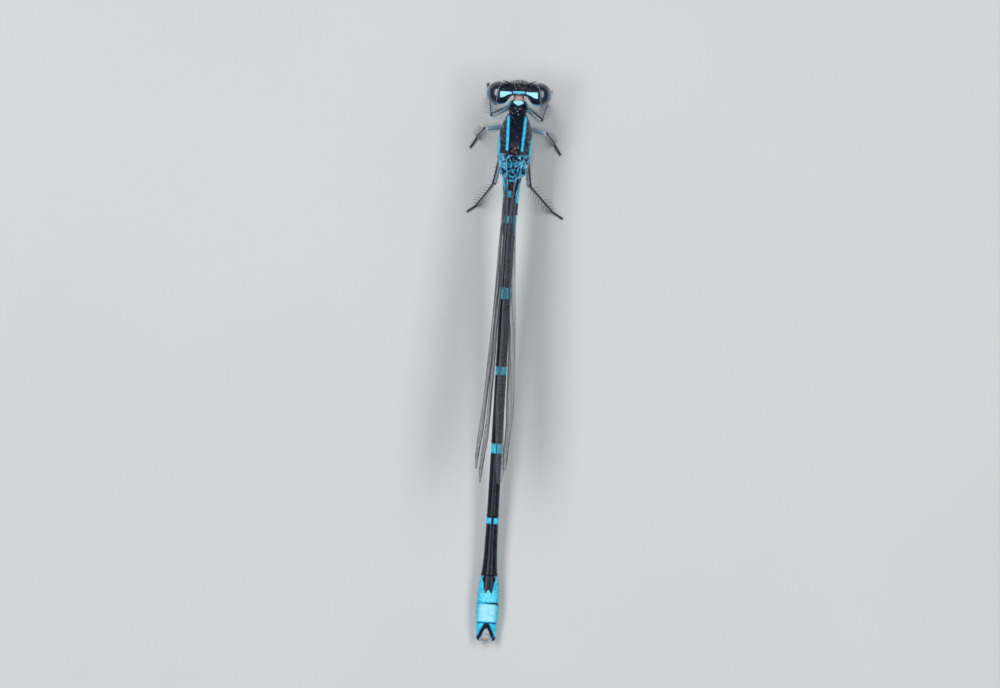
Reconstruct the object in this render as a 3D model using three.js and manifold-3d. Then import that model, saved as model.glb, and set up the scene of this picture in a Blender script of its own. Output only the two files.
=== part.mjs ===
// A male bluet damselfly at rest with its wings closed over its back, life size.
// Millimetres. +Z is up, +Y is towards the head and +X is the insect's right-hand side.
// The body is measured from the waist, where the thorax meets the abdomen at y = 0.
import * as THREE from "three";
import { mergeVertices } from "three/addons/utils/BufferGeometryUtils.js";
import Module from "manifold-3d";

const wasm = await Module();
wasm.setup();

// Clearance that neighbouring solids keep
const GAP = 0.3;
const HALF_GAP = GAP / 2;

// Abdomen: the length of each segment, front to back, and where its line runs
const SEGMENT_LENGTHS = [0.5, 1.4, 4.35, 4.8, 4.65, 4.5, 3.55, 1.65, 1.2, 0.65];
const total = (lengths) => lengths.reduce((sum, length) => sum + length, 0);
const SEGMENT_STARTS = SEGMENT_LENGTHS.map((_, i) => total(SEGMENT_LENGTHS.slice(0, i)));
const SEGMENT_COUNT = SEGMENT_LENGTHS.length;
const ABDOMEN_LENGTH = total(SEGMENT_LENGTHS);
const BLUE_SEGMENTS = [8, 9];
const ABDOMEN_BASE_Z = 2.75;
const ABDOMEN_FALL = 0.0846;
const ABDOMEN_HALF_WIDTH = [
  [0, 0.5], [1.9, 0.43], [3.6, 0.35], [11, 0.34], [19, 0.35], [22.4, 0.4], [23.7, 0.47], [24.6, 0.6],
  [25.6, 0.64], [26.6, 0.61], [27.25, 0.54],
];
const ABDOMEN_HALF_HEIGHT = [
  [0, 0.56], [1.9, 0.48], [3.6, 0.4], [11, 0.39], [19, 0.4], [22.4, 0.43], [23.7, 0.48], [24.6, 0.55],
  [25.6, 0.57], [26.6, 0.53], [27.25, 0.44],
];
const RIM_RISE = 0.035;
const RIM_LENGTH = 0.16;
const RING_SPACING = 0.6;
const ABDOMEN_SIDES = 16;
const CERCUS_LENGTH = 0.5;
const CERCUS_RADIUS = 0.25;
const CERCUS_TIP = 0.1;
const CERCUS_APART = 0.27;
const CERCUS_RISE = 0.05;
const CERCUS_ARCH = 0.08;

// Thorax: turned a little from the abdomen's line, roof-shaped above and round below
const FRONT_YAW = THREE.MathUtils.degToRad(-1.4);
const THORAX_BACK = 0.28;
const THORAX_FRONT = 4.12;
const THORAX_HALF_WIDTH = [
  [0.28, 0.55], [0.7, 0.72], [1.2, 0.92], [1.8, 1.04], [2.7, 1.04], [3.4, 0.92], [4.12, 0.64],
];
const THORAX_TOP = [
  [0.28, 3.25], [0.7, 3.32], [1.2, 3.55], [1.55, 3.86], [1.9, 4.36], [2.3, 4.5], [2.9, 4.26], [3.5, 3.88],
  [4.12, 3.42],
];
const THORAX_BOTTOM = [
  [0.28, 2.22], [0.8, 2.02], [1.5, 1.84], [2.2, 1.66], [3, 1.52], [3.6, 1.66], [4.12, 2.25],
];
const THORAX_RINGS = 16;
const THORAX_SIDES = 24;
const ROOF = 1.2;
const BELLY = 0.85;

// Prothorax: the short first ring that carries the front legs
const PROTHORAX_BACK = THORAX_FRONT + GAP;
const PROTHORAX_FRONT = 5.03;
const PROTHORAX_Z = 2.86;
const PROTHORAX_HALF_WIDTH = [[4.42, 0.6], [4.62, 0.62], [4.82, 0.5], [5.03, 0.4]];
const PROTHORAX_HALF_HEIGHT = [[4.42, 0.6], [4.62, 0.64], [4.82, 0.56], [5.03, 0.45]];
const PROTHORAX_RINGS = 7;
const PROTHORAX_SIDES = 18;

// Head: a crescent capsule, deepest at the sides, between two big eyes.
// Each row of its outline is read by the distance from the middle.
const HEAD_FRONT = [[0, 6.14], [0.6, 6.13], [1, 6.06], [1.4, 5.92]];
const HEAD_BACK = [[0, 5.34], [0.38, 5.32], [0.55, 5.2], [0.74, 4.97], [0.88, 4.87], [1.4, 4.78]];
const HEAD_TOP = [[0, 3.72], [0.6, 3.74], [1, 3.76], [1.4, 3.7]];
const HEAD_UNDER = [[0, 2.36], [0.8, 2.36], [1.4, 2.44]];
const HEAD_REACH = 1.4;
const HEAD_RINGS = 14;
const HEAD_SIDES = 24;
const HEAD_BOXINESS = 0.75;
const FACE_BOXINESS = 0.85;
const FACE_COLUMNS = 18;
const FACE_ROWS = 10;
const NECK_RADIUS = 0.36;
const NECK_BACK = PROTHORAX_FRONT + GAP;
const NECK_FRONT = 5.7;
const FACE_CENTRE = new THREE.Vector3(0, 5.95, 2.62);
const FACE_RADII = new THREE.Vector3(0.7, 0.36, 0.36);
const LIP_CENTRE = new THREE.Vector3(0, 5.96, 2.24);
const LIP_RADII = new THREE.Vector3(0.5, 0.32, 0.3);
const CHIN_CENTRE = new THREE.Vector3(0, 5.74, 2.28);
const CHIN_RADII = new THREE.Vector3(0.48, 0.42, 0.36);
const EYE_CENTRE = new THREE.Vector3(1.19, 5.42, 3.08);
const EYE_RADII = new THREE.Vector3(0.79, 0.75, 0.8);
const EYE_MARGIN = 1.18;
const EYE_MARGIN_SLANT = 0.17;
const EYE_COLUMNS = 28;
const EYE_ROWS = 18;

// Feelers: short bristles that stand up and out from between the eyes
const FEELER_ROOT = new THREE.Vector3(0.38, 5.86, 3.5);
const FEELER_WAY = new THREE.Vector3(0.46, 0.3, 0.84).normalize();
const FEELER_SOCKET_LENGTH = 0.36;
const FEELER_LENGTH = 1.15;
const FEELER_RADII = [0.26, 0.24, 0.16, 0.07];
const FEELER_SIDES = 8;

// Wings: closed upright over the abdomen, leading edge uppermost
const MEMBRANE_HALF_THICKNESS = [[0, 0.22], [0.12, 0.2], [0.6, 0.2], [1, 0.12]];
const VEIN_RISE = 0.05;
const VEIN_FULL_CHORD = 2;
// Main veins and the hollows between them, as shares of the way from the leading to the trailing edge
const VEIN_ROWS = [0, 0.1, 0.24, 0.39, 0.55, 0.71, 0.86, 1];
const WING_ROW_PLACES = VEIN_ROWS.flatMap((v, i) => (i === 0 ? [v] : [(v + VEIN_ROWS[i - 1]) / 2, v]));
// The joint of the leading edge and the dark cell near the tip, which both fill the first hollow
const EDGE_JOINT = { from: 0.35, to: 0.39 };
const EDGE_CELL = { from: 0.86, to: 0.905 };
const STALK_HALF_WIDTH = 0.25;
const WING_STATIONS = 24;
const WING_ROWS = WING_ROW_PLACES.length - 1;
const TIP_START = 0.6;
const TIP_ROUNDING = 1.15;
const TIP_BLUNTNESS = 0.96;
const LEADING_EDGE = [[0, 0.25], [0.12, 0.27], [0.4, 0.36], [0.75, 0.34], [0.9, 0.2], [1, -0.35]];
const TRAILING_EDGE = [
  [0, -0.25], [0.1, -0.27], [0.2, -0.95], [0.35, -2.1], [0.55, -2.9], [0.72, -3.0], [0.88, -2.5], [1, -1.6],
];
const WING_SOCKET_DEPTH = 0.7;
const FOREWING = { root: 1.48, height: 4.45, slope: 0.098, length: 19.6 };
const HINDWING = { root: 0.55, height: 3.65, slope: 0.088, length: 17.85 };
// Each wing's distance from the body's middle at its root, along its stalk, at mid-length and at its tip
const WING_SPREAD = {
  wing_fore_left: [-0.42, -0.45, -0.5, -0.52, -0.86],
  wing_fore_right: [0.42, 0.36, 0.29, 0.24, 0.2],
  wing_hind_left: [-0.74, -1.12, -1.28, -1.32, -1.4],
  wing_hind_right: [0.74, 1.04, 1.08, 1.02, 0.74],
};
const SPREAD_PLACES = [0, 0.08, 0.2, 0.55, 1];

// Legs: where each leaves the body, its knee, its ankle and the end of its foot
const LEG_RADIUS = 0.25;
const KNEE_RADIUS = 0.27;
const FOOT_TIP_RADIUS = 0.12;
const LEG_SIDES = 10;
const COXA_RADIUS = 0.3;
const COXA_REACH = 0.22;
const KNEE_CLEARANCE = 0.65;
const LEGS = {
  front_left: {
    hip: [-0.26, 4.78, 2.6], root: [-0.42, 4.68, 2.05], knee: [-1.42, 4.1, 2.2],
    ankle: [-1.62, 5.2, 0.19], foot: [-1.78, 5.95, 0.1],
  },
  front_right: {
    hip: [0.26, 4.78, 2.6], root: [0.42, 4.68, 2.05], knee: [1.55, 3.95, 2.2],
    ankle: [1.82, 4.95, 0.19], foot: [2.05, 5.7, 0.1],
  },
  mid_left: {
    hip: [-0.35, 3.4, 2.1], root: [-0.68, 3.42, 1.18], knee: [-1.8, 3.25, 2.3],
    ankle: [-2.25, 2.75, 0.19], foot: [-2.6, 2.15, 0.1],
  },
  mid_right: {
    hip: [0.35, 3.4, 2.1], root: [0.68, 3.42, 1.18], knee: [1.9, 3.15, 2.25],
    ankle: [2.4, 2.6, 0.19], foot: [2.8, 2.0, 0.1],
  },
  hind_left: {
    hip: [-0.35, 2.6, 2.1], root: [-0.66, 2.34, 1.1], knee: [-1.06, -0.02, 2.1],
    ankle: [-2.0, -1.35, 0.19], foot: [-2.55, -1.75, 0.1],
  },
  hind_right: {
    hip: [0.35, 2.6, 2.1], root: [0.66, 2.34, 1.1], knee: [1.06, -0.06, 2.1],
    ankle: [2.45, -1.48, 0.19], foot: [3.12, -1.88, 0.1],
  },
};
// Spines of the legs: two rows on the shin, one under the thigh
const SPINE_LENGTH = 0.5;
const SPINE_RADIUS = 0.12;
const SPINE_TIP = 0.03;
const SPINE_SUNK = 0.14;
const SPINE_SIDES = 5;
const SPINE_VARIATION = 0.15;
const SPINE_LEAN = 0.45;
const SHIN_SPINE_OUTWARD = 0.3;
const THIGH_SPINE_OUTWARD = 0.35;
const SHIN_SPINES = 3;
const THIGH_SPINE_SPACING = 0.62;
const THIGH_SPINES_END = 0.68;
const SHORT_THIGH = 1.6;
const SHORT_THIGH_SPINES_END = 0.25;
const BARE_THIGH = 0.8;
const PROTHORAX_LEGS = ["front_left", "front_right"];
const THORAX_LEGS = ["mid_left", "mid_right", "hind_left", "hind_right"];

// Finishes
const finish = (color, roughness) => new THREE.MeshStandardMaterial({ color, roughness, metalness: 0 });
const BLACK_CUTICLE = finish(0x0b0f16, 0.35);
const BLUE_CUTICLE = finish(0x2d9bd6, 0.4);
const EYE_SURFACE = finish(0x10243a, 0.2);
const WING_MEMBRANE = finish(0x59636f, 0.3);
const PALE_LEG = finish(0x8b98a3, 0.5);

const point = (x, y, z) => new THREE.Vector3(x, y, z);

// Seeded draws between 0 and 1
const SEED = 11;
const MULTIPLIER = 48271;
const MODULUS = 2147483647;
let draw = SEED;
function random() {
  draw = (draw * MULTIPLIER) % MODULUS;
  return draw / MODULUS;
}

// A value read from a row of [place, value] knots by a smooth curve through them.
function along(knots, place) {
  const last = knots.length - 1;
  const at = THREE.MathUtils.clamp(place, knots[0][0], knots[last][0]);
  let i = 0;
  while (i < last - 1 && knots[i + 1][0] < at) i += 1;
  const slope = (k) => {
    const before = knots[Math.max(k - 1, 0)];
    const after = knots[Math.min(k + 1, last)];
    return (after[1] - before[1]) / (after[0] - before[0]);
  };
  const [start, low] = knots[i];
  const [end, high] = knots[i + 1];
  const span = end - start;
  const t = (at - start) / span;
  const rise = 3 * t * t - 2 * t * t * t;
  return low + (high - low) * rise + span * t * (1 - t) * ((1 - t) * slope(i) - t * slope(i + 1));
}

// A closed body through rings of points, with each end closed by a fan to its middle.
function loft(rings) {
  const sides = rings[0].length;
  const points = rings.flat();
  const index = [];
  for (let r = 0; r + 1 < rings.length; r += 1) {
    for (let k = 0; k < sides; k += 1) {
      const a = r * sides + k;
      const b = r * sides + ((k + 1) % sides);
      index.push(a, b, b + sides, a, b + sides, a + sides);
    }
  }
  const close = (ring, first, outward) => {
    const middle = ring.reduce((sum, p) => sum.add(p), point(0, 0, 0)).divideScalar(sides);
    const hub = points.push(middle) - 1;
    for (let k = 0; k < sides; k += 1) {
      const here = first + k;
      const next = first + ((k + 1) % sides);
      index.push(...(outward ? [hub, here, next] : [hub, next, here]));
    }
  };
  close(rings[0], 0, false);
  close(rings.at(-1), (rings.length - 1) * sides, true);
  return new THREE.BufferGeometry().setFromPoints(points).setIndex(index);
}

// A cross-section of the body at y, with a full or a roof-like upper half.
function section(y, half, top, bottom, sides, roof = 1, belly = 1) {
  return Array.from({ length: sides }, (_, k) => {
    const angle = (k / sides) * 2 * Math.PI;
    const across = Math.cos(angle);
    const up = Math.sin(angle);
    const x = half * Math.sign(across) * Math.abs(across) ** (up > 0 ? roof : belly);
    return point(x, y, bottom + (top - bottom) * (0.5 + 0.5 * up));
  });
}

// A tapering limb with a round section of its own radius at each point.
function limb(points, radii, sides) {
  let side = null;
  const rings = points.map((here, i) => {
    const before = points[Math.max(i - 1, 0)];
    const after = points[Math.min(i + 1, points.length - 1)];
    const ahead = after.clone().sub(before).normalize();
    const lean = side ?? (Math.abs(ahead.z) < 0.9 ? point(0, 0, 1) : point(1, 0, 0));
    side = lean.clone().addScaledVector(ahead, -lean.dot(ahead)).normalize();
    const other = ahead.clone().cross(side);
    return Array.from({ length: sides }, (_, k) => {
      const angle = (k / sides) * 2 * Math.PI;
      const out = side.clone().multiplyScalar(Math.cos(angle)).addScaledVector(other, Math.sin(angle));
      return here.clone().addScaledVector(out, radii[i]);
    });
  });
  return loft(rings);
}

// An ellipsoid, or a boxier form of it where the power is under one.
function ellipsoid(centre, radii, power, columns, rows) {
  const geometry = new THREE.SphereGeometry(1, columns, rows).rotateZ(Math.PI / 2);
  const place = geometry.attributes.position;
  const bulge = (v) => Math.sign(v) * Math.abs(v) ** power;
  for (let i = 0; i < place.count; i += 1) {
    place.setXYZ(
      i,
      centre.x + radii.x * bulge(place.getX(i)),
      centre.y + radii.y * bulge(place.getY(i)),
      centre.z + radii.z * bulge(place.getZ(i)),
    );
  }
  return geometry;
}

function box(low, high) {
  const size = high.clone().sub(low);
  const middle = low.clone().add(high).multiplyScalar(0.5);
  return new THREE.BoxGeometry(size.x, size.y, size.z).translate(middle.x, middle.y, middle.z);
}

const MERGE_DISTANCE = 1e-4;

function solid(geometry) {
  geometry.deleteAttribute("normal");
  geometry.deleteAttribute("uv");
  const merged = mergeVertices(geometry, MERGE_DISTANCE);
  return new wasm.Manifold(
    new wasm.Mesh({
      numProp: 3,
      vertProperties: merged.attributes.position.array,
      triVerts: new Uint32Array(merged.index.array),
    }),
  );
}

const FLOOR_DEPTH = 5;
const FAR = 60;
const BELOW_FLOOR = solid(box(point(-FAR, -FAR, -FLOOR_DEPTH), point(FAR, FAR, 0)));

// A named mesh of the solid's largest closed body.
function mesh(name, made, material) {
  const [largest] = made.decompose().sort((a, b) => b.volume() - a.volume());
  const { vertProperties, triVerts } = largest.getMesh();
  const geometry = new THREE.BufferGeometry()
    .setAttribute("position", new THREE.BufferAttribute(vertProperties, 3))
    .setIndex(new THREE.BufferAttribute(triVerts, 1));
  geometry.computeVertexNormals();
  const result = new THREE.Mesh(geometry, material);
  result.name = name;
  return result;
}

const damselfly = new THREE.Group();

// Front of the body, turned as one about the waist
const front = new THREE.Group();
front.rotation.z = FRONT_YAW;
damselfly.add(front);

// The same turn for a point of the body that a leg or a wing starts from.
const turned = (p) => p.clone().applyAxisAngle(point(0, 0, 1), FRONT_YAW);
const unturned = (p) => p.clone().applyAxisAngle(point(0, 0, 1), -FRONT_YAW);

// Legs
function legPoints({ root, knee, ankle, foot }) {
  const [kneePoint, anklePoint, footPoint] = [knee, ankle, foot].map((place) => point(...place));
  return { root: turned(point(...root)), knee: kneePoint, ankle: anklePoint, foot: footPoint };
}

// A hip joint on the body whose flat end faces the thigh.
function coxa(leg) {
  const hip = point(...LEGS[leg].hip);
  const root = point(...LEGS[leg].root);
  const way = unturned(point(...LEGS[leg].knee)).sub(root).normalize();
  const end = root.clone().addScaledVector(way, COXA_REACH);
  return solid(limb([hip, root, end], [COXA_RADIUS, COXA_RADIUS, COXA_RADIUS], LEG_SIDES));
}

// A row of tapered spines between two places on a limb, leaning towards its foot.
function spineRow(start, end, count, outward) {
  const ahead = end.clone().sub(start).normalize();
  const way = outward.clone().normalize().addScaledVector(ahead, SPINE_LEAN).normalize();
  return Array.from({ length: count }, (_, i) => {
    const seat = start.clone().lerp(end, (i + 0.5) / count);
    const from = seat.clone().addScaledVector(way, LEG_RADIUS - SPINE_SUNK);
    const length = SPINE_SUNK + SPINE_LENGTH * (1 + SPINE_VARIATION * (2 * random() - 1));
    const tip = from.clone().addScaledVector(way, length);
    return solid(limb([from, tip], [SPINE_RADIUS, SPINE_TIP], SPINE_SIDES));
  });
}

function addLeg(leg) {
  const { root, knee, ankle, foot } = legPoints(LEGS[leg]);
  const outside = point(Math.sign(knee.x), 0, 0);
  const thighWay = knee.clone().sub(root).normalize();
  const thighStart = root.clone().addScaledVector(thighWay, COXA_REACH + GAP);
  const thighMiddle = thighStart.clone().lerp(knee, 0.5);
  const thigh = limb([thighStart, thighMiddle, knee], [LEG_RADIUS, LEG_RADIUS, KNEE_RADIUS], LEG_SIDES);
  const shinWay = ankle.clone().sub(knee).normalize();
  const shinStart = knee.clone().addScaledVector(shinWay, KNEE_CLEARANCE);
  const shinMiddle = shinStart.clone().lerp(ankle, 0.5);
  const shinRadii = [LEG_RADIUS, LEG_RADIUS, LEG_RADIUS, FOOT_TIP_RADIUS];
  const shin = limb([shinStart, shinMiddle, ankle, foot], shinRadii, LEG_SIDES);
  const beside = shinWay.clone().cross(point(0, 0, 1)).normalize();
  const thighLength = thighStart.distanceTo(knee);
  const spinesShare = thighLength < SHORT_THIGH ? SHORT_THIGH_SPINES_END : THIGH_SPINES_END;
  const spinesEnd = thighStart.clone().lerp(knee, spinesShare);
  const spineRoom = thighLength < BARE_THIGH ? 0 : thighLength * spinesShare;
  const spineCount = Math.ceil(spineRoom / THIGH_SPINE_SPACING);
  const downward = point(THIGH_SPINE_OUTWARD * outside.x, 0, -1);
  const thighSpines = spineRow(thighStart, spinesEnd, spineCount, downward);
  const shinSpines = [-1, 1].flatMap((side) => {
    const outward = beside.clone().multiplyScalar(side).addScaledVector(outside, SHIN_SPINE_OUTWARD);
    return spineRow(shinStart, ankle, SHIN_SPINES, outward);
  });
  const joined = (body, spines) => spines.reduce((sum, spine) => sum.add(spine), solid(body));
  damselfly.add(mesh(`leg_${leg}_thigh`, joined(thigh, thighSpines), BLACK_CUTICLE));
  damselfly.add(mesh(`leg_${leg}_shin`, joined(shin, shinSpines).subtract(BELOW_FLOOR), PALE_LEG));
}

// Wings
function wingMiddle(name, t) {
  const spread = WING_SPREAD[name];
  return along(SPREAD_PLACES.map((at, i) => [at, spread[i]]), t);
}

// How far the wing's end is drawn in, at a share of its length and at a place across it from -1 to 1.
function tipRound(t, across) {
  const near = Math.max(0, (t - TIP_START) / (1 - TIP_START));
  return near ** 2 * TIP_ROUNDING * (1 - Math.sqrt(1 - TIP_BLUNTNESS * across * across));
}

function addWing(name, { root, height, slope, length }) {
  const corner = (t, j, face) => {
    const v = WING_ROW_PLACES[j];
    const top = along(LEADING_EDGE, t);
    const bottom = along(TRAILING_EDGE, t);
    const reach = t * length - tipRound(t, 2 * v - 1);
    const filled = j === 1 && [EDGE_JOINT, EDGE_CELL].some(({ from, to }) => t >= from && t <= to);
    const rise = VEIN_RISE * Math.min(1, (top - bottom) / VEIN_FULL_CHORD);
    const thick = along(MEMBRANE_HALF_THICKNESS, t) + (j % 2 === 0 || filled ? rise : 0);
    const z = height + reach * slope + top + v * (bottom - top);
    return point(wingMiddle(name, t) + face * thick, root - reach, z);
  };
  const points = [];
  for (const face of [1, -1]) {
    for (let i = 0; i <= WING_STATIONS; i += 1) {
      for (let j = 0; j <= WING_ROWS; j += 1) {
        points.push(corner(i / WING_STATIONS, j, face));
      }
    }
  }
  const columns = WING_ROWS + 1;
  const other = (WING_STATIONS + 1) * columns;
  const at = (i, j) => i * columns + j;
  const index = [];
  const wall = (a, b) => index.push(a, a + other, b + other, a, b + other, b);
  for (let i = 0; i < WING_STATIONS; i += 1) {
    for (let j = 0; j < WING_ROWS; j += 1) {
      const [a, b, c, d] = [at(i, j), at(i + 1, j), at(i + 1, j + 1), at(i, j + 1)];
      index.push(a, b, c, a, c, d);
      index.push(a + other, c + other, b + other, a + other, d + other, c + other);
    }
    wall(at(i, 0), at(i + 1, 0));
    wall(at(i + 1, WING_ROWS), at(i, WING_ROWS));
  }
  for (let j = 0; j < WING_ROWS; j += 1) {
    wall(at(0, j + 1), at(0, j));
    wall(at(WING_STATIONS, j), at(WING_STATIONS, j + 1));
  }
  const geometry = new THREE.BufferGeometry().setFromPoints(points).setIndex(index);
  damselfly.add(mesh(name, solid(geometry), WING_MEMBRANE));
}

// A block on the thorax whose flat back faces the wing's root.
function wingSocket(name, { root, height }) {
  const x = wingMiddle(name, 0);
  const low = point(x - STALK_HALF_WIDTH, root + GAP, height - STALK_HALF_WIDTH);
  const high = point(x + STALK_HALF_WIDTH, root + GAP + WING_SOCKET_DEPTH, height + STALK_HALF_WIDTH);
  return solid(box(low, high).rotateZ(-FRONT_YAW));
}

// Thorax
function addThorax() {
  const rings = Array.from({ length: THORAX_RINGS + 1 }, (_, i) => {
    const y = THREE.MathUtils.lerp(THORAX_FRONT, THORAX_BACK, i / THORAX_RINGS);
    const half = along(THORAX_HALF_WIDTH, y);
    return section(y, half, along(THORAX_TOP, y), along(THORAX_BOTTOM, y), THORAX_SIDES, ROOF, BELLY);
  });
  let made = solid(loft(rings));
  for (const name of Object.keys(WING_SPREAD)) {
    made = made.add(wingSocket(name, name.includes("fore") ? FOREWING : HINDWING));
  }
  for (const leg of THORAX_LEGS) made = made.add(coxa(leg));
  front.add(mesh("thorax", made, BLUE_CUTICLE));
}

function addProthorax() {
  const rings = Array.from({ length: PROTHORAX_RINGS + 1 }, (_, i) => {
    const y = THREE.MathUtils.lerp(PROTHORAX_FRONT, PROTHORAX_BACK, i / PROTHORAX_RINGS);
    const high = along(PROTHORAX_HALF_HEIGHT, y);
    const half = along(PROTHORAX_HALF_WIDTH, y);
    return section(y, half, PROTHORAX_Z + high, PROTHORAX_Z - high, PROTHORAX_SIDES);
  });
  let made = solid(loft(rings));
  for (const leg of PROTHORAX_LEGS) made = made.add(coxa(leg));
  front.add(mesh("prothorax", made, BLACK_CUTICLE));
}

// All that lies on an eye's side of the line where it meets the head, moved out by a distance.
function eyeSide(side, moved) {
  const wedge = box(point(Math.min(side * FAR, 0), -FAR, -FAR), point(Math.max(side * FAR, 0), FAR, FAR));
  wedge.rotateZ(side * Math.atan(EYE_MARGIN_SLANT));
  return solid(wedge.translate(side * (EYE_MARGIN + moved), EYE_CENTRE.y, 0));
}

function addEye(name, side) {
  const centre = point(side * EYE_CENTRE.x, EYE_CENTRE.y, EYE_CENTRE.z);
  const ball = solid(ellipsoid(centre, EYE_RADII, 1, EYE_COLUMNS, EYE_ROWS));
  front.add(mesh(name, ball.intersect(eyeSide(side, 0)), EYE_SURFACE));
}

// Head
function feelerPoint(side, distance) {
  const start = point(side * FEELER_ROOT.x, FEELER_ROOT.y, FEELER_ROOT.z);
  return start.addScaledVector(point(side * FEELER_WAY.x, FEELER_WAY.y, FEELER_WAY.z), distance);
}

// A slice of the head's capsule at a distance from its middle.
function headSection(x) {
  const away = Math.abs(x);
  const [front, back] = [along(HEAD_FRONT, away), along(HEAD_BACK, away)];
  const [top, under] = [along(HEAD_TOP, away), along(HEAD_UNDER, away)];
  const bulge = (v) => Math.sign(v) * Math.abs(v) ** HEAD_BOXINESS;
  return Array.from({ length: HEAD_SIDES }, (_, k) => {
    const angle = (k / HEAD_SIDES) * 2 * Math.PI;
    const forward = bulge(Math.cos(angle));
    const up = bulge(Math.sin(angle));
    return point(x, (front + back + (front - back) * forward) / 2, (top + under + (top - under) * up) / 2);
  });
}

function addHead() {
  const places = Array.from({ length: HEAD_RINGS + 1 }, (_, i) => HEAD_REACH * ((2 * i) / HEAD_RINGS - 1));
  let made = solid(loft(places.map(headSection)));
  for (const side of [-1, 1]) made = made.subtract(eyeSide(side, -GAP));
  made = made.add(solid(ellipsoid(FACE_CENTRE, FACE_RADII, FACE_BOXINESS, FACE_COLUMNS, FACE_ROWS)));
  made = made.add(solid(ellipsoid(LIP_CENTRE, LIP_RADII, FACE_BOXINESS, FACE_COLUMNS, FACE_ROWS)));
  made = made.add(solid(ellipsoid(CHIN_CENTRE, CHIN_RADII, 1, FACE_COLUMNS, FACE_ROWS)));
  const neckBack = point(0, NECK_BACK, PROTHORAX_Z);
  const neckFront = point(0, NECK_FRONT, PROTHORAX_Z);
  made = made.add(solid(limb([neckBack, neckFront], [NECK_RADIUS, NECK_RADIUS], PROTHORAX_SIDES)));
  for (const side of [-1, 1]) {
    const ends = [feelerPoint(side, 0), feelerPoint(side, FEELER_SOCKET_LENGTH)];
    made = made.add(solid(limb(ends, [FEELER_RADII[0], FEELER_RADII[0]], FEELER_SIDES)));
  }
  front.add(mesh("head", made, BLACK_CUTICLE));
}

function addFeeler(name, side) {
  const points = FEELER_RADII.map((_, i) => {
    const share = i / (FEELER_RADII.length - 1);
    return feelerPoint(side, FEELER_SOCKET_LENGTH + GAP + share * FEELER_LENGTH);
  });
  front.add(mesh(name, solid(limb(points, FEELER_RADII, FEELER_SIDES)), BLACK_CUTICLE));
}

// Abdomen
function abdomenRing(distance, swell) {
  const middle = ABDOMEN_BASE_Z - distance * ABDOMEN_FALL;
  const half = along(ABDOMEN_HALF_WIDTH, distance) + swell;
  const high = along(ABDOMEN_HALF_HEIGHT, distance) + swell;
  return section(-distance, half, middle + high, middle - high, ABDOMEN_SIDES);
}

// A stretch of the abdomen between two distances, with a raised rim at its rear end.
function abdomenLength(start, end) {
  const from = start + (start > 0 ? HALF_GAP : 0);
  const to = end - (end < ABDOMEN_LENGTH ? HALF_GAP : 0);
  const inner = to - RIM_LENGTH;
  const steps = Math.max(2, Math.round((inner - from) / RING_SPACING));
  const rings = [];
  for (let i = 0; i <= steps; i += 1) rings.push(abdomenRing(from + ((inner - from) * i) / steps, 0));
  rings.push(abdomenRing(to - RIM_LENGTH / 2, RIM_RISE));
  rings.push(abdomenRing(to, RIM_RISE / 2));
  return solid(loft(rings));
}

function cercus(side) {
  const z = ABDOMEN_BASE_Z - ABDOMEN_LENGTH * ABDOMEN_FALL;
  const root = point(side * CERCUS_APART, CERCUS_RADIUS - ABDOMEN_LENGTH, z + CERCUS_RISE);
  const middle = point(side * CERCUS_APART, -ABDOMEN_LENGTH - CERCUS_LENGTH / 2, z + CERCUS_ARCH);
  const tip = point(side * CERCUS_APART, -ABDOMEN_LENGTH - CERCUS_LENGTH, z);
  return solid(limb([root, middle, tip], [CERCUS_RADIUS, CERCUS_RADIUS, CERCUS_TIP], LEG_SIDES));
}

function addAbdomen() {
  const ends = SEGMENT_STARTS.map((start, i) => start + SEGMENT_LENGTHS[i]);
  const waist = abdomenLength(SEGMENT_STARTS[0], ends[1]);
  damselfly.add(mesh("abdomen_1_2", waist, BLUE_CUTICLE));
  for (let number = 3; number <= SEGMENT_COUNT; number += 1) {
    let made = abdomenLength(SEGMENT_STARTS[number - 1], ends[number - 1]);
    if (number === SEGMENT_COUNT) made = made.add(cercus(-1)).add(cercus(1));
    const material = BLUE_SEGMENTS.includes(number) ? BLUE_CUTICLE : BLACK_CUTICLE;
    damselfly.add(mesh(`abdomen_${number}`, made.subtract(BELOW_FLOOR), material));
  }
}

addHead();
addEye("eye_left", -1);
addEye("eye_right", 1);
addFeeler("antenna_left", -1);
addFeeler("antenna_right", 1);
addProthorax();
addThorax();
addAbdomen();
for (const name of Object.keys(WING_SPREAD)) addWing(name, name.includes("fore") ? FOREWING : HINDWING);
for (const leg of Object.keys(LEGS)) addLeg(leg);

// The origin is the middle of the underside of the whole
const extent = new THREE.Box3().setFromObject(damselfly, true);
const middle = extent.getCenter(new THREE.Vector3());
damselfly.position.set(-middle.x, -middle.y, -extent.min.z);

export default damselfly;
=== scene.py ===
# A male bluet damselfly at rest, wings closed, seen square on from above.
# Shapes are worked out in millimetres from the waist, where thorax and abdomen meet at y = 0.
import math

import bpy
import numpy as np
from mathutils import Matrix, Vector


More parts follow.
